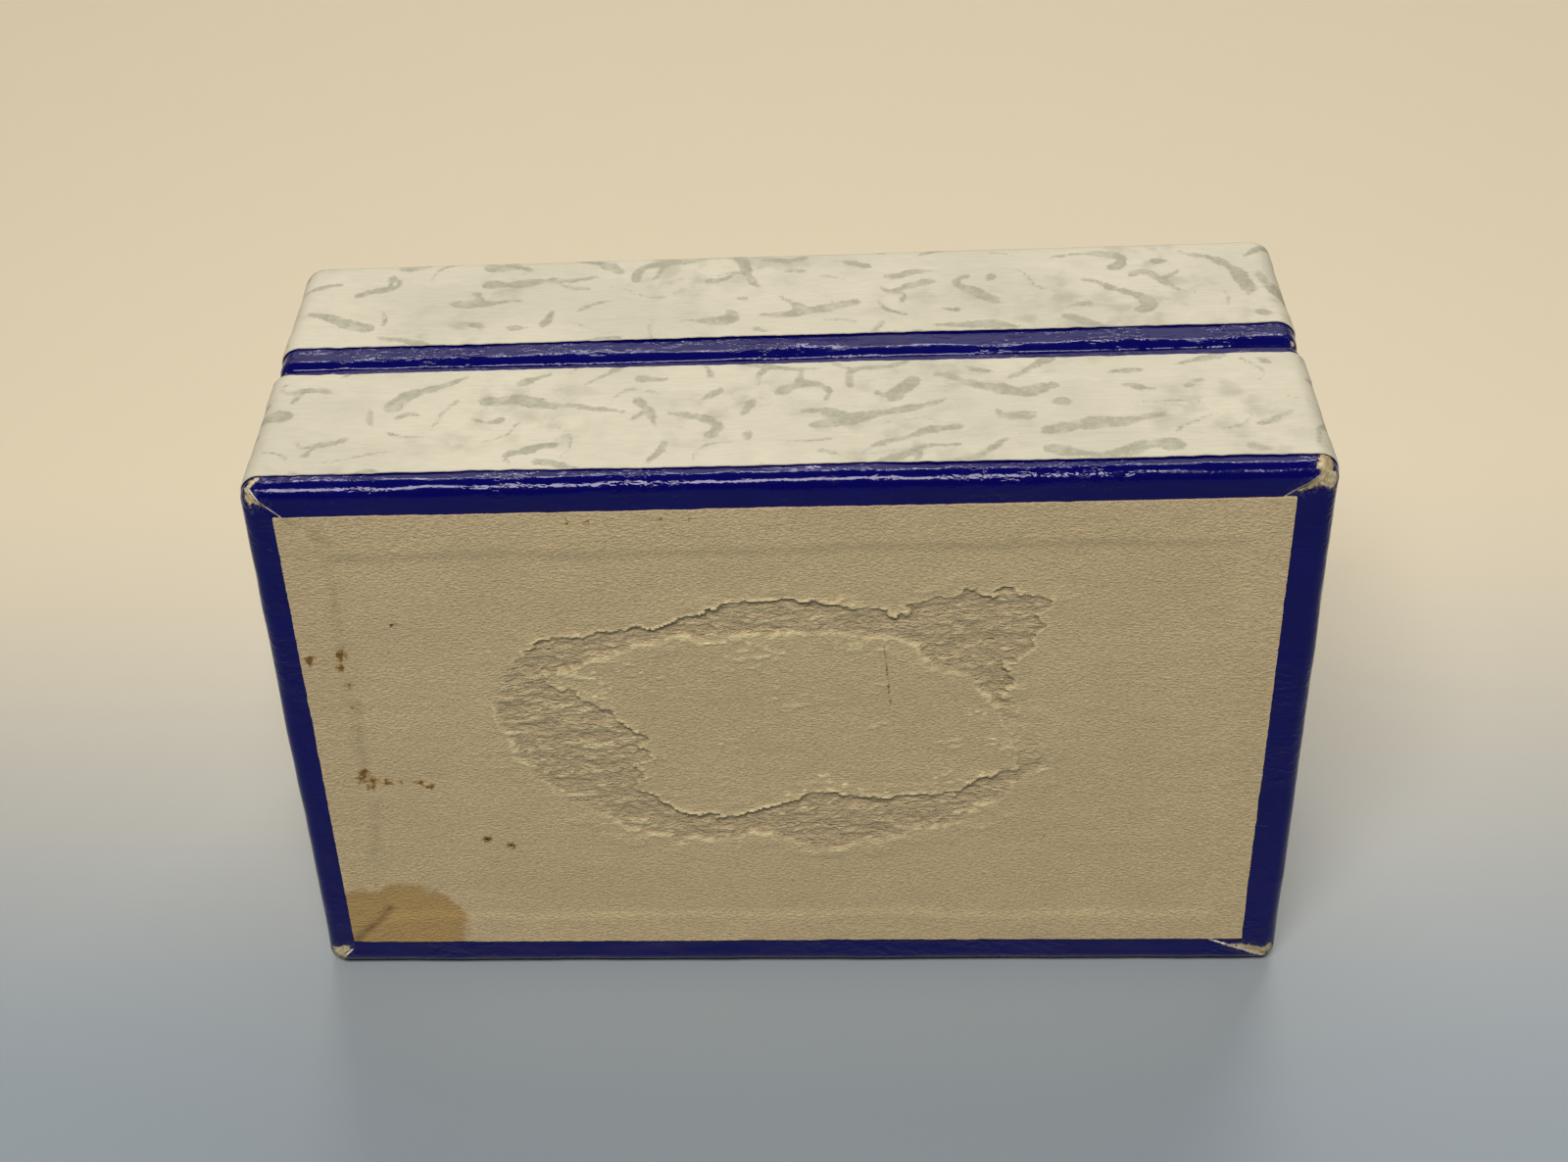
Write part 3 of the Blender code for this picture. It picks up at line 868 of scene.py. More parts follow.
def edging_strip(tray, side, materials, seed):
    """One strip folded over the edge between a panel and a wall. Across, it is a section with a turn of
    the edge radius; along, each line of the section follows the side up to the corners' bisecting
    lines. Points lie close together near the mitres. The front is moved outwards by ripples, inwards by
    about half a paper's thickness where the glaze is rubbed off or the strip is cut away, and stands up
    a little in broken burrs round the rubbed spots."""
    node = f"{tray.name}_edging_{side}"
    radius = mm("edge_r")
    wall_run = tray.edging[1] - tray.edging[0] - radius
    if tray is BASE:
        reach = HIDDEN_EDGING[side] - EDGING_SHORTER - EDGING_IN - radius
    else:
        low, high = corners_mm(node)
        reach = min(high[0] - low[0], high[2] - low[2]) - radius
    section = Section(EDGING_IN, tray.edging[1], [("run", wall_run), ("turn", radius, 90), ("run", reach)])
    flat_w = wall_run + radius * pi / 2
    rows = spaced(
        (0.0, wall_run - 2.6, wall_run - 0.4, flat_w, flat_w + 2.8, section.length),
        (1.4, 0.35, 0.12, 0.16, 1.4),
    )
    long_side = side in ("upper", "lower")
    half = (LENGTH if long_side else WIDTH) / 2
    near = NEAR_MITRE / half
    t = spaced((-1.0, -1.0 + near, 1.0 - near, 1.0), (0.13 / half, 0.45 / half, 0.13 / half))
    w = rows[:, None] + 0 * t[None, :]
    inset, depth, out_wall, out_panel = section.at(w)
    x, z, nx, nz, end_gap = side_line(side, t[None, :] + 0 * w, inset, mm("corner_r"))
    out = np.stack([-out_wall * nx, tray.into * out_panel, -out_wall * nz], axis=-1)
    unfolded = EDGING_IN + radius + w - flat_w
    from_end = LENGTH / 2 - np.abs(x) if long_side else unfolded
    from_side = unfolded if long_side else WIDTH / 2 - np.abs(z - WIDTH / 2)
    nearer_end = np.where(end_gap < FAR, np.sign(t), 0)
    bare, cut, under = strip_wear(tray, side, nearer_end, from_end, from_side)
    along = x if long_side else z
    ripples = glue_ripples(along, unfolded, (7.0, 1.9), (2.4, 0.9), seed, seed + 5)
    rubbed_edge = bare + 0.12 * value_noise(along, unfolded, 0.5, 0.5, seed + 7)
    height = ripples * smooth_step(0.0, 1.2, end_gap)
    height = height - 0.09 * smooth_step(0.06, -0.1, rubbed_edge) - 0.1 * smooth_step(0.04, -0.06, under)
    broken = smooth_step(-0.2, 0.6, value_noise(along, unfolded, 0.9, 0.7, seed + 8))
    height = height + 0.05 * bump_at(bare, 0.12, 0.14) * broken
    front = np.stack([x, tray.y(depth), z], axis=-1) + out * height[..., None]
    fields = {"bare_mm": bare, "cut_mm": cut}
    folded_paper(
        node, tray, materials, front, out, mm("paper"), STRIP_INNER_ROWS, False, fields
    )


class RimView:
    """A tray seen from its rim: depths are measured from the plane of the rim."""

    def __init__(self, tray):
        self.name = tray.name
        self.rim_y = tray.y(tray.rim[1])
        self.into = -tray.into

    def y(self, depth):
        return self.rim_y + self.into * depth


def rim_strip(tray, radius, materials, seed):
    """The strip turned over a rim: up the wall, over the rim in its turns, and down the inside, a little
    shorter than outside. The front is moved outwards by ripples, and the glaze is rubbed off in a few
    spots round the rim."""
    outer_in = LENGTH / 2 - corners_mm(tray.name + "_edging_right")[1][0]
    across = RIM_LEG_IN - outer_in
    leg = tray.rim[1] - tray.rim[0]
    turns = [("turn", share * radius, degrees) for share, degrees in RIM_TURNS[tray.name]]
    bends = Section(0.0, 0.0, turns)
    bend_in, bend_down = bends.place[-1][0], -bends.place[-1][1]
    if bend_in + RIM_INNER_RADIUS > across:
        raise RuntimeError(f"{tray.name} rim bends {bend_in:.2f} mm in, over a wall of {across:.2f} mm")
    section = Section(outer_in, leg, [
        ("run", leg - bend_down), *turns, ("run", across - bend_in - RIM_INNER_RADIUS),
        ("turn", RIM_INNER_RADIUS, 90), ("run", leg - RIM_INNER_RADIUS - RIM_LEG_SHORTER),
    ])
    ring = WallRing(RIM_SPACING)
    flat_end = leg - bend_down
    top = flat_end + bends.length
    rows = spaced(
        (0.0, flat_end - 1.0, flat_end, top, top + across - bend_in, section.length),
        (1.0, 0.3, 0.1, 0.2, 0.9),
    )

    def relief(w, p):
        ripples = glue_ripples(p, w, (8.0, 1.7), (2.6, 0.9), seed, seed + 4)
        return ripples * smooth_step(section.length, section.length - 2.0, w)

    def bare(w, p):
        spots = [
            np.hypot(p - ring.corner_p[corner], (w - (leg + past)) * 1.4) - size
            for corner, past, size in RIM_SCUFFS[tray.name]
        ]
        return np.minimum.reduce([np.full(w.shape, FAR), *spots])

    def uncut(w, p):
        return np.full(w.shape, FAR)

    starts = np.zeros(len(ring.p))
    ring_piece(
        tray.name + "_rim_edging", RimView(tray), materials, section, ring, rows, starts,
        starts + section.length, relief, mm("paper"), {"bare_mm": bare, "cut_mm": uncut},
    )


# Brush marks

MARK_KINDS = {
    # kind: share, lengths, half widths, turning over the length, turning in the hooked end (radians)
    "stroke": (0.46, (7.0, 15.0), (0.52, 0.92), 0.8, 0.0),
    "hook": (0.26, (6.0, 11.0), (0.48, 0.82), 0.5, 1.7),
    "hair": (0.12, (4.0, 9.0), (0.16, 0.28), 1.2, 0.5),
    "dab": (0.05, (1.2, 2.6), (0.40, 0.75), 0.3, 0.0),
    "comma": (0.11, (3.0, 5.0), (0.36, 0.6), 0.8, 0.0),
}
MARK_CELL = 4.7
MARK_CLEARANCE = 0.85
# How far outside the marks their distance is worked out
MARK_REACH = 1.5


def brush_marks(width, height, seed):
    """Brush marks spread over a paper: a list of arrays of points with half widths. Each is tried in a
    cell of its own, mostly along the paper, a little shorter each time, and is kept if it stays clear
    of the marks before it. Some long ones get a branch."""
    rng = np.random.default_rng(seed)
    kinds = list(MARK_KINDS)
    shares = [MARK_KINDS[kind][0] for kind in kinds]
    marks = []
    laid = np.zeros((0, 2))
    columns = int(np.ceil(width / MARK_CELL))
    rows = int(np.ceil(height / MARK_CELL)) + 1
    cells = [(column, row) for column in range(columns) for row in range(rows)]
    for place in rng.permutation(len(cells)):
        corner = (np.array(cells[place]) - (0.0, 0.5)) * MARK_CELL
        for attempt in range(9):
            kind = kinds[rng.choice(len(kinds), p=shares)]
            _, lengths, half_widths, turning, hooked = MARK_KINDS[kind]
            length = rng.uniform(*lengths) * 0.94 ** attempt
            steep = rng.random() < 0.24
            heading = rng.choice([0.0, pi])
            if steep:
                heading = heading + rng.choice([-1, 1]) * rng.uniform(0.8, 1.6)
            else:
                heading = heading + rng.normal(0.12, 0.38)
            start = corner + rng.uniform(0, MARK_CELL, 2)
            mark = one_mark(rng, start, heading, turning, hooked, length, rng.uniform(*half_widths))
            away = mark[:, None, :2] - laid[None, :, :]
            gap = np.hypot(away[..., 0], away[..., 1]).min(initial=FAR)
            if gap < MARK_CLEARANCE + mark[:, 2].max():
                continue
            marks.append(mark)
            laid = np.concatenate([laid, mark[::3, :2]])
            if kind in ("stroke", "hook") and rng.random() < 0.42:
                at = mark[int(len(mark) * rng.uniform(0.3, 0.75))]
                branch = heading + rng.choice([-1, 1]) * rng.uniform(0.7, 1.3)
                marks.append(one_mark(rng, at[:2], branch, 0.5, 0.0, length * 0.4, at[2] * 0.85))
                laid = np.concatenate([laid, marks[-1][::3, :2]])
            break
    return marks


def one_mark(rng, start, heading, turning, hooked, length, half_width):
    """Points along one mark, 0.22 mm apart, with the mark's half width at each. It turns steadily with a
    slow waver, and faster in a hooked end. The half width rises within 0.35 mm to a blunt head, swells
    and wavers, and thins towards the tail as 1 - 0.6 s^2 of the share s of the length. Half of the
    marks have their head at the other end."""
    count = max(6, int(length / 0.22))
    s = np.linspace(0, 1, count)
    turn = heading + turning * rng.normal(0, 0.8) * s
    turn = turn + hooked * rng.choice([-1, 1]) * smooth_step(0.55, 0.95, s)
    turn = turn + 0.42 * value_noise(s * length, 0 * s, 2.0, 1.0, int(rng.integers(1 << 30)))
    step = length / (count - 1)
    x = start[0] + np.concatenate([[0], np.cumsum(np.cos(turn[:-1]) * step)])
    y = start[1] + np.concatenate([[0], np.cumsum(np.sin(turn[:-1]) * step)])
    head = np.clip(s * length / 0.35, 0.15, 1) ** 0.5
    if rng.random() < 0.5:
        s = 1 - s
        head = head[::-1]
    swell = (1 - 0.6 * s ** 2) * (0.9 + 0.15 * bump_at(s, rng.uniform(0.1, 0.6), 0.2))
    wobble = 1 + 0.32 * value_noise(s * length, 0 * s, 0.9, 1.0, int(rng.integers(1 << 30)))
    return np.stack([x, y, half_width * head * swell * wobble], axis=1)


def distance_to_marks(u, v, marks, round_length=None):
    """How far each point of a paper lies outside the nearest mark, in millimetres; less than 0 inside.
    A mark is the union of discs along its points. On a paper closed round the walls, marks run on over
    its ends."""
    field = np.full(u.shape, MARK_REACH)
    shifts = (0.0,) if round_length is None else (-round_length, 0.0, round_length)
    for mark in marks:
        low = mark.min(0)[:2] - MARK_REACH - 0.8
        high = mark.max(0)[:2] + MARK_REACH + 0.8
        for shift in shifts:
            near = (u > low[0] + shift) & (u < high[0] + shift) & (v > low[1]) & (v < high[1])
            if not near.any():
                continue
            du = u[near][:, None] - mark[None, :, 0] - shift
            dv = v[near][:, None] - mark[None, :, 1]
            away = (np.hypot(du, dv) - mark[None, :, 2]).min(1)
            field[near] = np.minimum(field[near], away)
    return field


# How far the wrap's rim edge and panel edge lie in from where the solid's end
WRAP_SHORTER = (0.2, 0.1)
# The gap in the wrap's panel edge at the far corner: how far past the corner, how deep and how wide
WRAP_GAP = (0.4, 1.25, 1.9)


def wall_wrap(tray, skew, materials, seed):
    """The brush-marked paper round the walls. Its section runs flat up the wall, and on the lid a good
    way round the edge, with a gap at the far corner. Its cut edges stray, and its skews are how far its
    rim edge and its panel edge are out of true."""
    spacing = mm("grid")
    wander = mm("cut_wander")
    over_r = EDGING_IN + mm("edge_r")
    rim_end = tray.wrap[1]
    flat = rim_end - over_r
    section = Section(0.0, rim_end, [("run", flat), ("turn", over_r, 90)])
    goes_over = tray.wrap[0] < over_r
    reach = rim_end - tray.wrap[0]
    if goes_over:
        reach = flat + over_r * np.arcsin(1 - tray.wrap[0] / over_r)
    ring = WallRing(spacing)
    low = WRAP_SHORTER[0] + cut_line(ring.p, seed, wander) + skew[0] * ring.sx * ring.sz
    low = np.maximum(low, 0.0)
    high = reach - WRAP_SHORTER[1] - cut_line(ring.p, seed + 5, wander) + skew[1] * ring.sx
    if goes_over:
        past, deep, wide = WRAP_GAP
        high = high - deep * bump_at(ring.p, ring.corner_p[2] + past, wide)
    edging_from = rim_end - tray.edging[1]
    rim_strip_to = rim_end - tray.rim[0]

    def relief(w, p):
        """Lower by 0.07 mm between the hidden ends of the edging strips, with faint puckers over all."""
        between = smooth_step(rim_strip_to - 0.5, rim_strip_to + 0.5, w)
        between = between * smooth_step(edging_from + 0.5, edging_from - 0.5, w)
        return -0.03 - 0.07 * between + 0.018 * layered_noise(p, w, 7.0, 4.0, seed + 9, 3)

    marks = brush_marks(ring.round, reach, seed + 20)

    def mark_field(w, p):
        return distance_to_marks(p, w, marks, ring.round)

    ring_piece(
        tray.name + "_wall_wrap", tray, materials, section, ring,
        spaced((0.0, reach), (spacing,)), low, high, relief, mm("wrap_paper"), {"mark_mm": mark_field},
    )


# Panel sheets

# Outlines of the torn ring that a label left, as X and Z on the bottom sheet
TORN_OUTSIDE = (
    (-28.4, 38.0), (-27.1, 41.0), (-25.3, 43.7), (-20.0, 45.2), (-14.8, 45.8), (-10.5, 46.8), (-4.6, 49.0),
    (0.6, 49.5), (4.6, 49.0), (8.2, 48.1), (10.6, 46.8), (12.2, 48.4), (16.9, 49.7), (20.9, 49.9),
    (24.4, 48.1), (23.1, 42.7), (20.4, 41.1), (21.7, 36.6), (24.8, 31.7), (25.8, 28.3), (22.8, 26.0),
    (19.9, 23.0), (17.0, 20.4), (10.0, 18.1), (4.0, 16.7), (-0.3, 17.5), (-3.7, 19.0), (-9.0, 18.1),
    (-15.5, 19.4), (-20.1, 22.1), (-24.0, 25.5), (-27.0, 30.0), (-28.5, 34.5),
)
TORN_INSIDE = (
    (-13.7, 43.8), (-9.8, 44.9), (-2.5, 44.9), (4.5, 45.3), (8.9, 44.6), (12.2, 43.5), (13.4, 41.1),
    (17.0, 39.7), (20.1, 36.1), (22.1, 31.6), (22.4, 27.9), (19.0, 26.6), (16.6, 24.4), (8.9, 24.1),
    (3.0, 24.8), (-2.3, 22.7), (-6.6, 21.7), (-11.0, 22.3), (-14.2, 24.9), (-14.2, 29.0), (-13.8, 32.2),
    (-16.5, 35.2), (-20.6, 38.2), (-23.0, 39.6), (-20.5, 41.6), (-16.6, 42.5),
)
STAIN_OUTLINE = (
    (-49.0, 1.6), (-49.0, 10.0), (-44.8, 11.7), (-41.6, 12.2), (-37.5, 11.2), (-35.0, 8.8), (-34.3, 6.1),
    (-34.6, 1.6),
)
RUST_SPOTS = (
    (-45.7, 42.9, 0.55), (-42.6, 43.5, 0.6), (-42.9, 42.0, 0.45), (-42.4, 39.7, 0.22), (-42.4, 36.8, 0.2),
    (-42.4, 28.1, 0.5), (-42.9, 27.3, 0.42), (-41.7, 27.0, 0.42), (-41.9, 26.1, 0.38), (-40.2, 26.8, 0.42),
    (-38.9, 26.8, 0.2), (-37.0, 26.6, 0.4), (-35.9, 26.1, 0.36), (-30.9, 18.8, 0.42), (-28.5, 17.9, 0.34),
    (-19.4, 58.9, 0.16), (-17.6, 59.1, 0.2), (-15.9, 58.8, 0.13),
    (-11.0, 59.0, 0.15), (-8.2, 59.1, 0.2),
)
DIRT_SPOTS = (
    (-37.3, 47.0, 0.2), (-36.7, 47.3, 0.16), (-15.3, 38.5, 0.12), (-12.6, 46.1, 0.13), (-30.9, 18.8, 0.2),
    (-28.5, 17.9, 0.12),
)
# A hair on the sheet
HAIR = ((9.5, 43.5), (10.1, 36.2))
HAIR_RADIUS = 0.04
# How far the bottom sheet and the top sheet drop beyond the edging hidden under them, how far their
# margins' level lies in from the panel's plane, and how far their flat backs lie behind that level
SHEET_DROP = 0.17
TOP_SHEET_DROP = 0.12
SHEET_FACE_IN = 0.03
SHEET_BACK = 0.46
TOP_SHEET_BACK = 0.25
# How far in the edging reaches under the top sheet, counted from the sheet's edge
TOP_HIDDEN_EDGING = 4.0


def torn_field(x, z):
    """The distances to the torn ring and to its outer and inner outline, less than 0 inside them. Noise
    makes both outlines ragged, and more so where the outer one is frayed, at the left, lower left and
    right, and where the inner one is flaky, at the lower left."""
    rag = 0.42 * value_noise(x, z, 2.0, 1.3, 41) + 0.38 * value_noise(x, z, 0.9, 0.55, 42)
    rag = rag + 0.28 * value_noise(x, z, 0.5, 0.38, 43)
    frayed = smooth_step(-22.0, -27.0, x) + smooth_step(26.0, 21.0, z) * smooth_step(6.0, -2.0, x)
    frayed = frayed + smooth_step(15.0, 20.0, x)
    flaky = smooth_step(-9.5, -13.0, x) * smooth_step(34.0, 30.5, z)
    outer = distance_to_outline(x, z, TORN_OUTSIDE) + rag
    outer = outer + 0.7 * frayed * value_noise(x, z, 2.7, 1.0, 44)
    inner = distance_to_outline(x, z, TORN_INSIDE) + 0.8 * rag
    inner = inner + 1.3 * flaky * value_noise(x, z, 2.4, 0.8, 45)
    return np.maximum(outer, -inner), outer, inner


def sharp_rims(x, z):
    """How sharply the ring's outer and inner rim broke, from 0 to 1. The label was pulled off upwards,
    so the upper part of the outer rim did, and the lower and left part of the island's."""
    outer = smooth_step(33.0, 38.0, z) * smooth_step(-27.5, -24.0, x)
    left = smooth_step(-9.0, -12.0, x) * smooth_step(43.0, 41.0, z)
    return outer, np.maximum(smooth_step(37.0, 32.0, z), left)


def local_mean(values, reach):
    """The mean of each point's neighbours, up to so many rows and columns away, by running sums."""
    for axis in (0, 1):
        padding = [(reach + 1, reach) if a == axis else (0, 0) for a in (0, 1)]
        sums = np.cumsum(np.pad(values, padding, mode="edge"), axis=axis)
        values = (np.take(sums, range(2 * reach + 1, sums.shape[axis]), axis=axis)
                  - np.take(sums, range(sums.shape[axis] - 2 * reach - 1), axis=axis)) / (2 * reach + 1)
    return values


def torn_plies(x, z, left):
    """The floor of the torn ring: plies that end in ragged steps, higher on its left. A noise is cut into
    terraces, each level with a short rise to the next, and short fibres lie over them."""
    plies = 2.6 * layered_noise(x, z, 3.0, 1.3, 61, 4) + 0.9
    level = np.floor(plies)
    terraces = np.clip(level + smooth_step(0.6, 1.0, plies - level), -1, 3)
    fibres = layered_noise(x, z, 1.1, 0.42, 66, 2)
    return np.maximum((0.05 + 0.01 * left) * terraces + 0.035 * fibres, -0.085)


def over_edging(x, z):
    """How far the sheet lies over the edging hidden under its margins, from 0 in its middle to 1."""
    gap = np.minimum.reduce([
        x - (-LENGTH / 2 + HIDDEN_EDGING["left"]), (LENGTH / 2 - HIDDEN_EDGING["right"]) - x,
        (WIDTH - HIDDEN_EDGING["upper"]) - z, z - HIDDEN_EDGING["lower"],
    ])
    return smooth_step(0.45, -0.45, gap + 0.3 * value_noise(x, z, 9.0, 9.0, 51))


def fold_corners(x, z, height):
    """Presses a crease into two of the sheet's corners and raises a fold beside one. Returns the height,
    and how dark the creases, a worn line down the left margin and the margin itself are."""
    fold_top = distance_to_line(x, z, (-46.2, 60.2), (-41.9, 56.9))
    fold_low = distance_to_line(x, z, (-46.5, 4.0), (-42.2, 8.8))
    fold_up = distance_to_line(x, z, (-40.0, 56.2), (-35.0, 53.5))
    height = height - 0.10 * bump_at(fold_top, 0, 0.4) - 0.10 * bump_at(fold_low, 0, 0.45)
    height = height + 0.06 * bump_at(fold_up, 0, 0.25)
    worn_line = bump_at(x, -42.1 + 0.35 * value_noise(x, z, 9.0, 4.0, 80), 0.45)
    worn_line = worn_line * smooth_step(12.5, 18.0, z) * smooth_step(56.0, 52.0, z)
    dark = 0.35 * bump_at(fold_top, 0, 0.5) + 0.85 * bump_at(fold_low, 0, 0.42)
    dark = np.clip(dark + 0.24 * worn_line + 0.06 * smooth_step(-41.6, -43.0, x), 0, 1)
    return height, dark * smooth_step(-0.9, 0.3, value_noise(x, z, 1.2, 1.2, 79))


def sheet_relief(x, z):
    """The front of the bottom sheet, as a height over its board: it lies higher over the edging hidden
    under its margins, drops into the torn ring, and is creased in two corners. The sharp parts of the
    ring's rims have raised lips, and the rest feathers out over about a millimetre. Also returns how
    torn and how creased the sheet is, and its fine detail, which paints light and shade: below 0 it is
    painted shade in the hollows and a painted shadow under the sharp rims, and above 0 paler clean
    fibre on raised places and tufts, partly a painted highlight."""
    torn, outer, inner = torn_field(x, z)
    sharp_out, sharp_in = sharp_rims(x, z)
    weak = 1 - 0.8 * bump_at(x, 23.8, 4.5) * bump_at(z, 33.6, 5.5)
    left = smooth_step(-12.6, -17.6, x) * smooth_step(45.4, 42.4, z)
    inside = smooth_step(0.07, -0.10 - 1.1 * (1 - sharp_out), outer)
    inside = inside * smooth_step(0.07, -0.10 - 0.8 * (1 - sharp_in), -inner)
    lip_share = smooth_step(-0.5, 0.4, value_noise(x, z, 2.2, 1.4, 71))
    lips = bump_at(outer, 0.12, 0.2) * (0.25 + 0.75 * sharp_out)
    lips = lips + bump_at(inner, -0.12, 0.2) * (0.25 + 0.75 * sharp_in)
    lips = lips * (0.06 + 0.13 * lip_share) * weak
    swell = 0.07 * (bump_at(outer, 1.0, 0.9) + bump_at(inner, -1.0, 0.9)) * lip_share
    near = smooth_step(3.0, 0.4, outer) * smooth_step(-3.0, -0.4, -inner)
    tufts = smooth_step(0.35, 0.65, value_noise(x, z, 0.8, 0.36, 73)) * near
    tufts = tufts * smooth_step(0.0, 0.5, value_noise(x, z, 3.1, 2.4, 74) + 0.7 * left - 0.15)
    depth = mm("tear_depth") * weak * (1 - 0.3 * left)
    plies = torn_plies(x, z, left) * (0.35 + 0.65 * weak)
    raised = lips + 0.09 * tufts * (1 - 0.4 * inside)
    height = SHEET_DROP * over_edging(x, z) + inside * (plies - depth) + raised + swell * (1 - inside)
    height = height + 0.03 * layered_noise(x, z, 6.0, 3.0, 75, 3)
    height = height + 0.010 * layered_noise(x, z, 1.6, 0.5, 78, 2)
    height, creased = fold_corners(x, z, height)
    # Fine detail that paints light and shade: hollows below the local mean get painted shade, darkest in a
    # painted shadow under the sharp rims, and raised places get paler clean fibre, partly a painted
    # highlight, weaker under those rims.
    detail = np.clip((height - local_mean(height, 3)) / 0.06, -1, 1) * smooth_step(3.5, 2.0, torn)
    painted_rim_shadow = bump_at(outer, -0.2, 0.5) * sharp_out + bump_at(inner, 0.2, 0.5) * sharp_in
    dark = np.clip(0.35 + painted_rim_shadow, 0, 1)
    pale = 1 - 0.5 * np.clip(painted_rim_shadow, 0, 1)
    detail = detail * np.where(detail < 0, dark, pale)
    return height, inside * weak, creased, detail + 0.5 * tufts


def sheet_points(low, high, stops_x, stops_z, spacings, seed, trim=(0.05, 0.05, 0.05, 0.05)):
    """A grid of X and Z over a sheet, closer between the stops, whose four edges stray from straight.
    trim is how far the left, right, lower and upper edges lie in from the sheet's box."""
    across = spaced((low[0], *stops_x, high[0]), spacings)
    up = spaced((low[2], *stops_z, high[2]), spacings)
    s = (across - low[0]) / (high[0] - low[0])
    r = (up - low[2]) / (high[2] - low[2])
    wander = mm("cut_wander") * 0.7
    left = low[0] + trim[0] + np.abs(cut_line(up, seed, wander))
    right = high[0] - trim[1] - np.abs(cut_line(up, seed + 10, wander))
    bottom = low[2] + trim[2] + np.abs(cut_line(across, seed + 20, wander))
    top = high[2] - trim[3] - np.abs(cut_line(across, seed + 30, wander))
    x = left[:, None] * (1 - s[None, :]) + right[:, None] * s[None, :]
    z = bottom[None, :] * (1 - r[:, None]) + top[None, :] * r[:, None]
    return x, z


def sheet_piece(node, tray, materials, x, z, height, back_in, fields):
    """A sheet on a panel: its front grid at the given heights over its margins' level, a skirt of cut
    edge all round, and a flat back closed by one face."""
    rows, columns = x.shape
    face_y = tray.panel_y + tray.into * SHEET_FACE_IN
    front = np.stack([x, face_y - tray.into * height, z], axis=-1).reshape(-1, 3)
    index = np.arange(rows * columns).reshape(rows, columns)
    border = np.concatenate([index[0, :-1], index[:-1, -1], index[-1, :0:-1], index[:0:-1, 0]])
    back = front[border]
    back[:, 1] = face_y + tray.into * back_in
    skirt = np.arange(len(border)) + rows * columns
    face = grid_faces(rows, columns, False, False)
    walls = np.stack([skirt, np.roll(skirt, -1), np.roll(border, -1), border], axis=1)
    kinds = np.repeat((0, 1), (len(face), len(walls)))
    past = np.full(len(border), FAR)
    fields = {key: np.concatenate([values.ravel(), past]) for key, values in fields.items()}
    new_piece(
        "paper_" + node, np.concatenate([front, back]), np.concatenate([face, walls]), [skirt], materials,
        kinds, fields, tray.name, [node],
    )


# Operators

class BoxOperator:
    """What the box's operators share: each adds its pieces once and can be undone."""

    bl_options = {"REGISTER", "UNDO"}


class BOX_OT_edging(BoxOperator, bpy.types.Operator):
    """Fold the eight mitred edging strips over the edges of both panels"""

    bl_idname = "box.edging"
    bl_label = "Edging strips"

    def execute(self, context):
        materials = [flint_glazed_paper(), edging_underside()]
        for tray, first_seed in ((BASE, 100), (LID, 140)):
            for number, side in enumerate(SIDE_ENDS):
                edging_strip(tray, side, materials, first_seed + 10 * number)
        return {"FINISHED"}


class BOX_OT_rims(BoxOperator, bpy.types.Operator):
    """Turn the glazed strips over both rims"""

    bl_idname = "box.rims"
    bl_label = "Rim strips"

    def execute(self, context):
        materials = [bpy.data.materials["flint_glazed_paper"], bpy.data.materials["edging_underside"]]
        rim_strip(LID, mm("lid_rim_r"), materials, 200)
        rim_strip(BASE, mm("base_rim_r"), materials, 220)
        return {"FINISHED"}


class BOX_OT_wraps(BoxOperator, bpy.types.Operator):
    """Wrap brush-marked paper round the walls of base and lid"""

    bl_idname = "box.wraps"
    bl_label = "Wall wraps"

    def execute(self, context):
        materials = [brush_marked_paper(), cut_paper_core()]
        wall_wrap(BASE, (0.2, 0.1), materials, 300)
        wall_wrap(LID, (0.1, 0.1), materials, 340)
        return {"FINISHED"}


class BOX_OT_bottom_sheet(BoxOperator, bpy.types.Operator):
    """Lay the torn and stained pulp sheet on the bottom panel"""

    bl_idname = "box.bottom_sheet"
    bl_label = "Bottom sheet"

    def execute(self, context):
        low, high = corners_mm("bottom_sheet")
        x, z = sheet_points(
            low, high, (-31.0, 28.5), (15.0, 52.0), (0.5, 0.19, 0.5), 400, (0.1, 0.1, 0.1, 0.24)
        )
        height, torn, creased, detail = sheet_relief(x, z)
        hair = distance_to_line(x, z, *HAIR) - HAIR_RADIUS
        fields = {
            "torn": torn,
            "stain_mm": distance_to_outline(x, z, STAIN_OUTLINE),
            "rust_mm": distance_to_spots(x, z, RUST_SPOTS),
            "dirt_mm": np.minimum(distance_to_spots(x, z, DIRT_SPOTS), hair),
            "crease": creased,
            # detail carries the torn ring's painted shade and painted shadow, and its paler fibre that is
            # partly a painted highlight.
            "detail": detail,
        }
        materials = [pulp_sheet_paper(), fibre_board("pulp_cut_edge", colour("torn"), 0.3)]
        height = height - SHEET_DROP
        sheet_piece("bottom_sheet", BASE, materials, x, z, height, SHEET_BACK, fields)
        return {"FINISHED"}


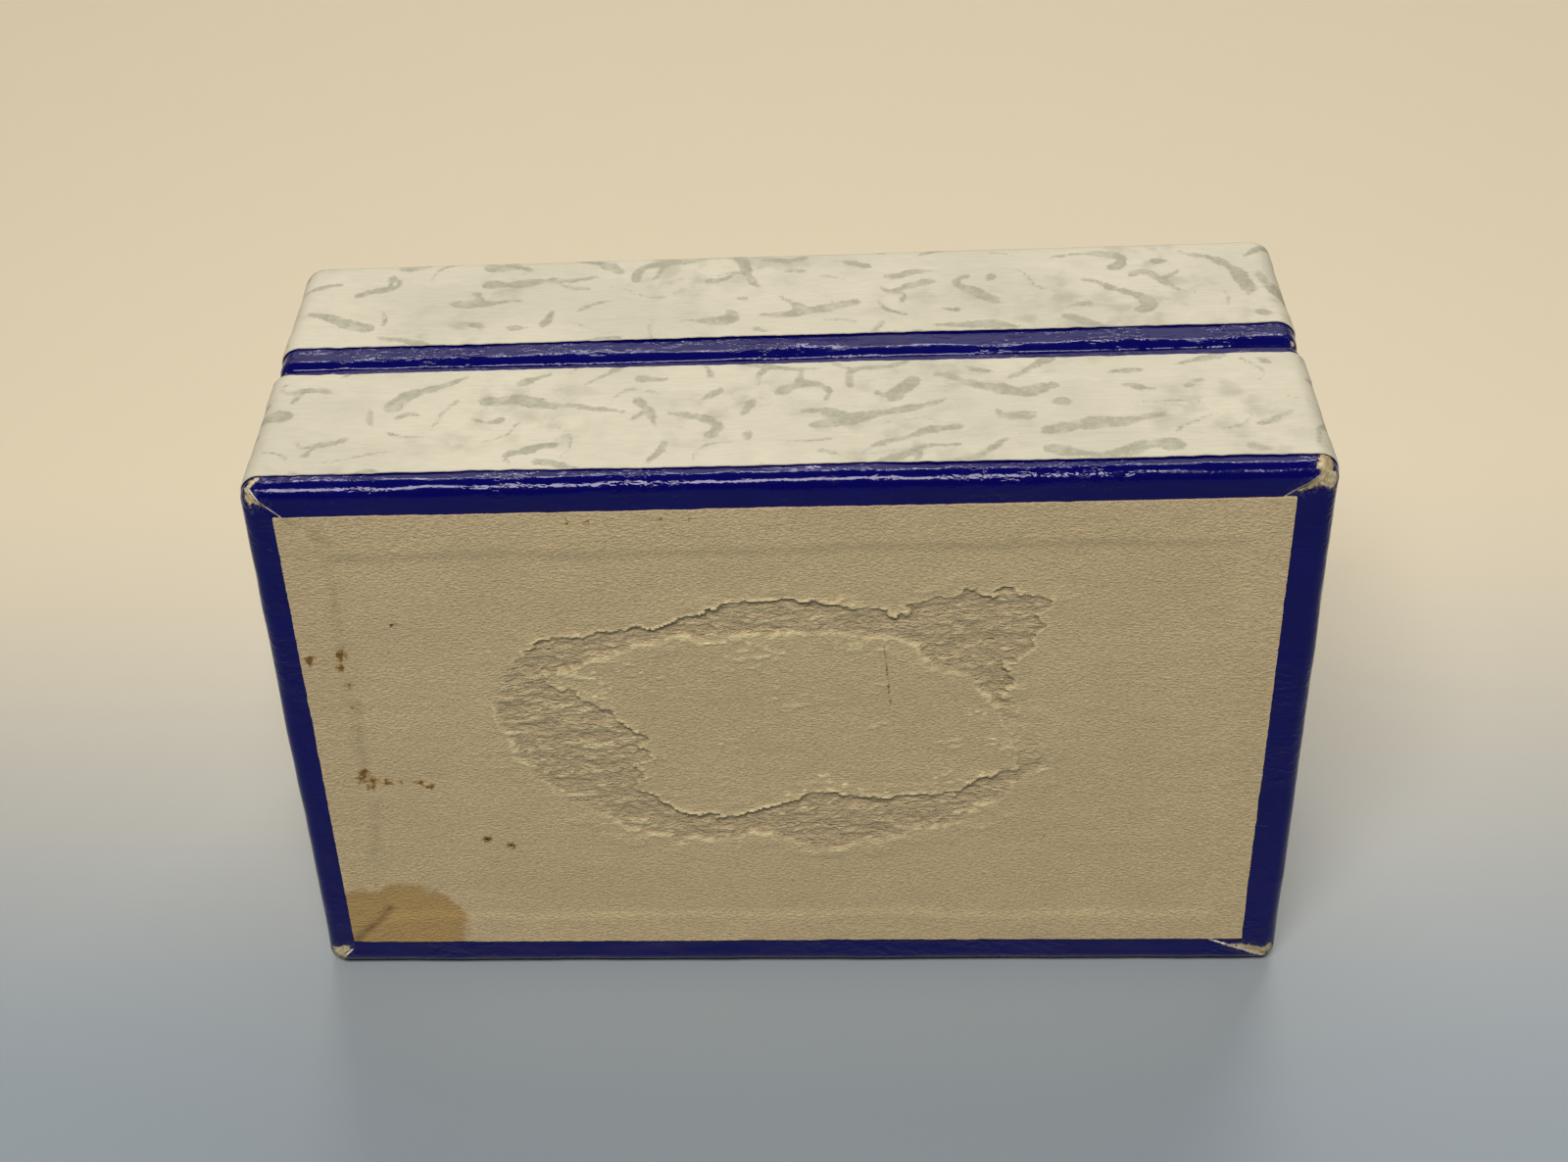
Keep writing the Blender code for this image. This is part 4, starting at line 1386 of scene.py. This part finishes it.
class BOX_OT_top_sheet(BoxOperator, bpy.types.Operator):
    """Lay the brush-marked sheet on the lid's top panel"""

    bl_idname = "box.top_sheet"
    bl_label = "Top sheet"

    def execute(self, context):
        low, high = corners_mm("top_sheet")
        x, z = sheet_points(low, high, (-30.0, 30.0), (20.0, 43.0), (0.36, 0.36, 0.36), 500)
        edge_gap = np.minimum.reduce([x - low[0], high[0] - x, z - low[2], high[2] - z])
        over = smooth_step(0.8, -0.8, edge_gap - TOP_HIDDEN_EDGING)
        height = TOP_SHEET_DROP * over - TOP_SHEET_DROP
        height = height + 0.02 * layered_noise(x, z, 9.0, 6.0, 505, 3)
        marks = brush_marks(high[0] - low[0], high[2] - low[2], 510)
        fields = {"mark_mm": distance_to_marks(x - low[0], z - low[2], marks)}
        materials = [bpy.data.materials["brush_marked_paper"], bpy.data.materials["cut_paper_core"]]
        sheet_piece("top_sheet", LID, materials, x, z, height, TOP_SHEET_BACK, fields)
        return {"FINISHED"}


class BOX_OT_inside(BoxOperator, bpy.types.Operator):
    """Cover the neck, and finish the linings, boards and corner stays"""

    bl_idname = "box.inside"
    bl_label = "Neck, linings and boards"

    def execute(self, context):
        lining = white_lining_paper()
        board = fibre_board("chipboard", colour("board"), 0.8)
        stay = fibre_board("gummed_brown_paper", colour("stay"), 0.4)
        finishes = {"chipboard": board, "stay_paper": stay, "lining_paper": lining}
        for part in frame["record"]["subparts"]:
            node = frame["nodes"][part["node"]]
            if part["material_slot"] in finishes and not node.hide_render:
                node.data.materials.clear()
                node.data.materials.append(finishes[part["material_slot"]])
        return {"FINISHED"}


class BOX_OT_stage(BoxOperator, bpy.types.Operator):
    """Set the pale floor, the soft lights and the camera"""

    bl_idname = "box.stage"
    bl_label = "Stage, lights and camera"

    def execute(self, context):
        stage_floor()
        soft_lights()
        photo_camera()
        context.scene.view_settings.view_transform = "Standard"
        return {"FINISHED"}


def stage_floor():
    """A floor 3 m wide that sweeps up into a backdrop behind the box: a section of floor, a quarter
    circle and an upright, carried along X."""
    sweep_r, front, back, top = 400.0, -1500.0, 900.0, 1900.0
    bend = np.linspace(0, pi / 2, 25)
    y = np.concatenate([[front], back - sweep_r + sweep_r * np.sin(bend), [back]])
    z = np.concatenate([[0.0], sweep_r * (1 - np.cos(bend)), [top]])
    x = np.linspace(-1500, 1500, 7)
    points = np.stack(np.broadcast_arrays(x[None, :], y[:, None], z[:, None]), axis=-1).reshape(-1, 3)
    quads = grid_faces(len(y), len(x), False, False)
    mesh = bpy.data.meshes.new("stage_floor")
    mesh.from_pydata((points * MM).tolist(), [], quads.tolist())
    mesh.shade_smooth()
    mesh.materials.append(graduated_paint())
    floor = bpy.data.objects.new("stage_floor", mesh)
    bpy.context.scene.collection.objects.link(floor)


def soft_light(name, at_mm, aim_mm, size_mm, watts, tint):
    """A rectangular lamp that faces the place it is aimed at."""
    lamp = bpy.data.lights.new(name, "AREA")
    lamp.shape = "RECTANGLE"
    lamp.size, lamp.size_y = (s * MM for s in size_mm)
    lamp.energy = watts
    lamp.color = linear(tint)
    thing = bpy.data.objects.new(name, lamp)
    thing.location = Vector(at_mm) * MM
    thing.rotation_euler = (Vector(aim_mm) * MM - thing.location).to_track_quat("-Z", "Y").to_euler()
    bpy.context.scene.collection.objects.link(thing)


def soft_lights():
    """A wide window high in front is the main light. Behind are a long dim lamp, which draws the bright
    line along the far edge, and a broad dim panel, which the glazed upper sides reflect. An even glow
    comes from all round."""
    soft_light("long_lamp_behind", (60, 520, 640), (0, 0, 40), (600, 60), 1.7, "#FFFAF2")
    soft_light("broad_panel_behind", (0, 820, 620), (0, 0, 40), (1300, 420), 1.5, "#FBF6F2")
    soft_light("window_above", (-80, -480, 860), (0, -20, 40), (520, 260), 8.0, "#FFF8EC")
    world = bpy.data.worlds.new("studio_glow")
    world.use_nodes = True
    glow = world.node_tree.nodes["Background"]
    glow.inputs["Color"].default_value = (*linear("#F3ECDD"), 1.0)
    glow.inputs["Strength"].default_value = 0.12
    bpy.context.scene.world = world


def photo_camera():
    """The photograph's viewpoint, fitted to the box's straight edges: a phone held above and in front."""
    camera = bpy.data.cameras.new("photo_camera")
    camera.sensor_width = 36.0
    camera.lens = 53.09
    camera.shift_x = 0.1028
    camera.shift_y = -0.0504
    thing = bpy.data.objects.new("photo_camera", camera)
    thing.location = Vector((4.12, -190.09, 183.88)) * MM
    thing.rotation_euler = (radians(54.148), radians(3.873), radians(3.342))
    bpy.context.scene.collection.objects.link(thing)
    bpy.context.scene.camera = thing


class BOX_PT_papers(bpy.types.Panel):
    bl_label = "Medicine box"
    bl_idname = "BOX_PT_papers"
    bl_space_type = "VIEW_3D"
    bl_region_type = "UI"
    bl_category = "Box"

    def draw(self, context):
        for operator in OPERATORS:
            self.layout.operator(operator.bl_idname)
        for group in (context.scene.box_sizes, context.scene.box_colours):
            for key in group.__annotations__:
                self.layout.prop(group, key)


OPERATORS = (
    BOX_OT_edging,
    BOX_OT_rims,
    BOX_OT_wraps,
    BOX_OT_bottom_sheet,
    BOX_OT_top_sheet,
    BOX_OT_inside,
    BOX_OT_stage,
)
CLASSES = (BoxSizes, BoxColours, *OPERATORS, BOX_PT_papers)


def register():
    for cls in CLASSES:
        bpy.utils.register_class(cls)
    bpy.types.Scene.box_sizes = bpy.props.PointerProperty(type=BoxSizes)
    bpy.types.Scene.box_colours = bpy.props.PointerProperty(type=BoxColours)


def unregister():
    del bpy.types.Scene.box_colours
    del bpy.types.Scene.box_sizes
    for cls in reversed(CLASSES):
        bpy.utils.unregister_class(cls)


def main():
    register()
    bpy.ops.box.edging()
    bpy.ops.box.rims()
    bpy.ops.box.wraps()
    bpy.ops.box.bottom_sheet()
    bpy.ops.box.top_sheet()
    bpy.ops.box.inside()
    bpy.ops.box.stage()


if __name__ == "__main__":
    main()
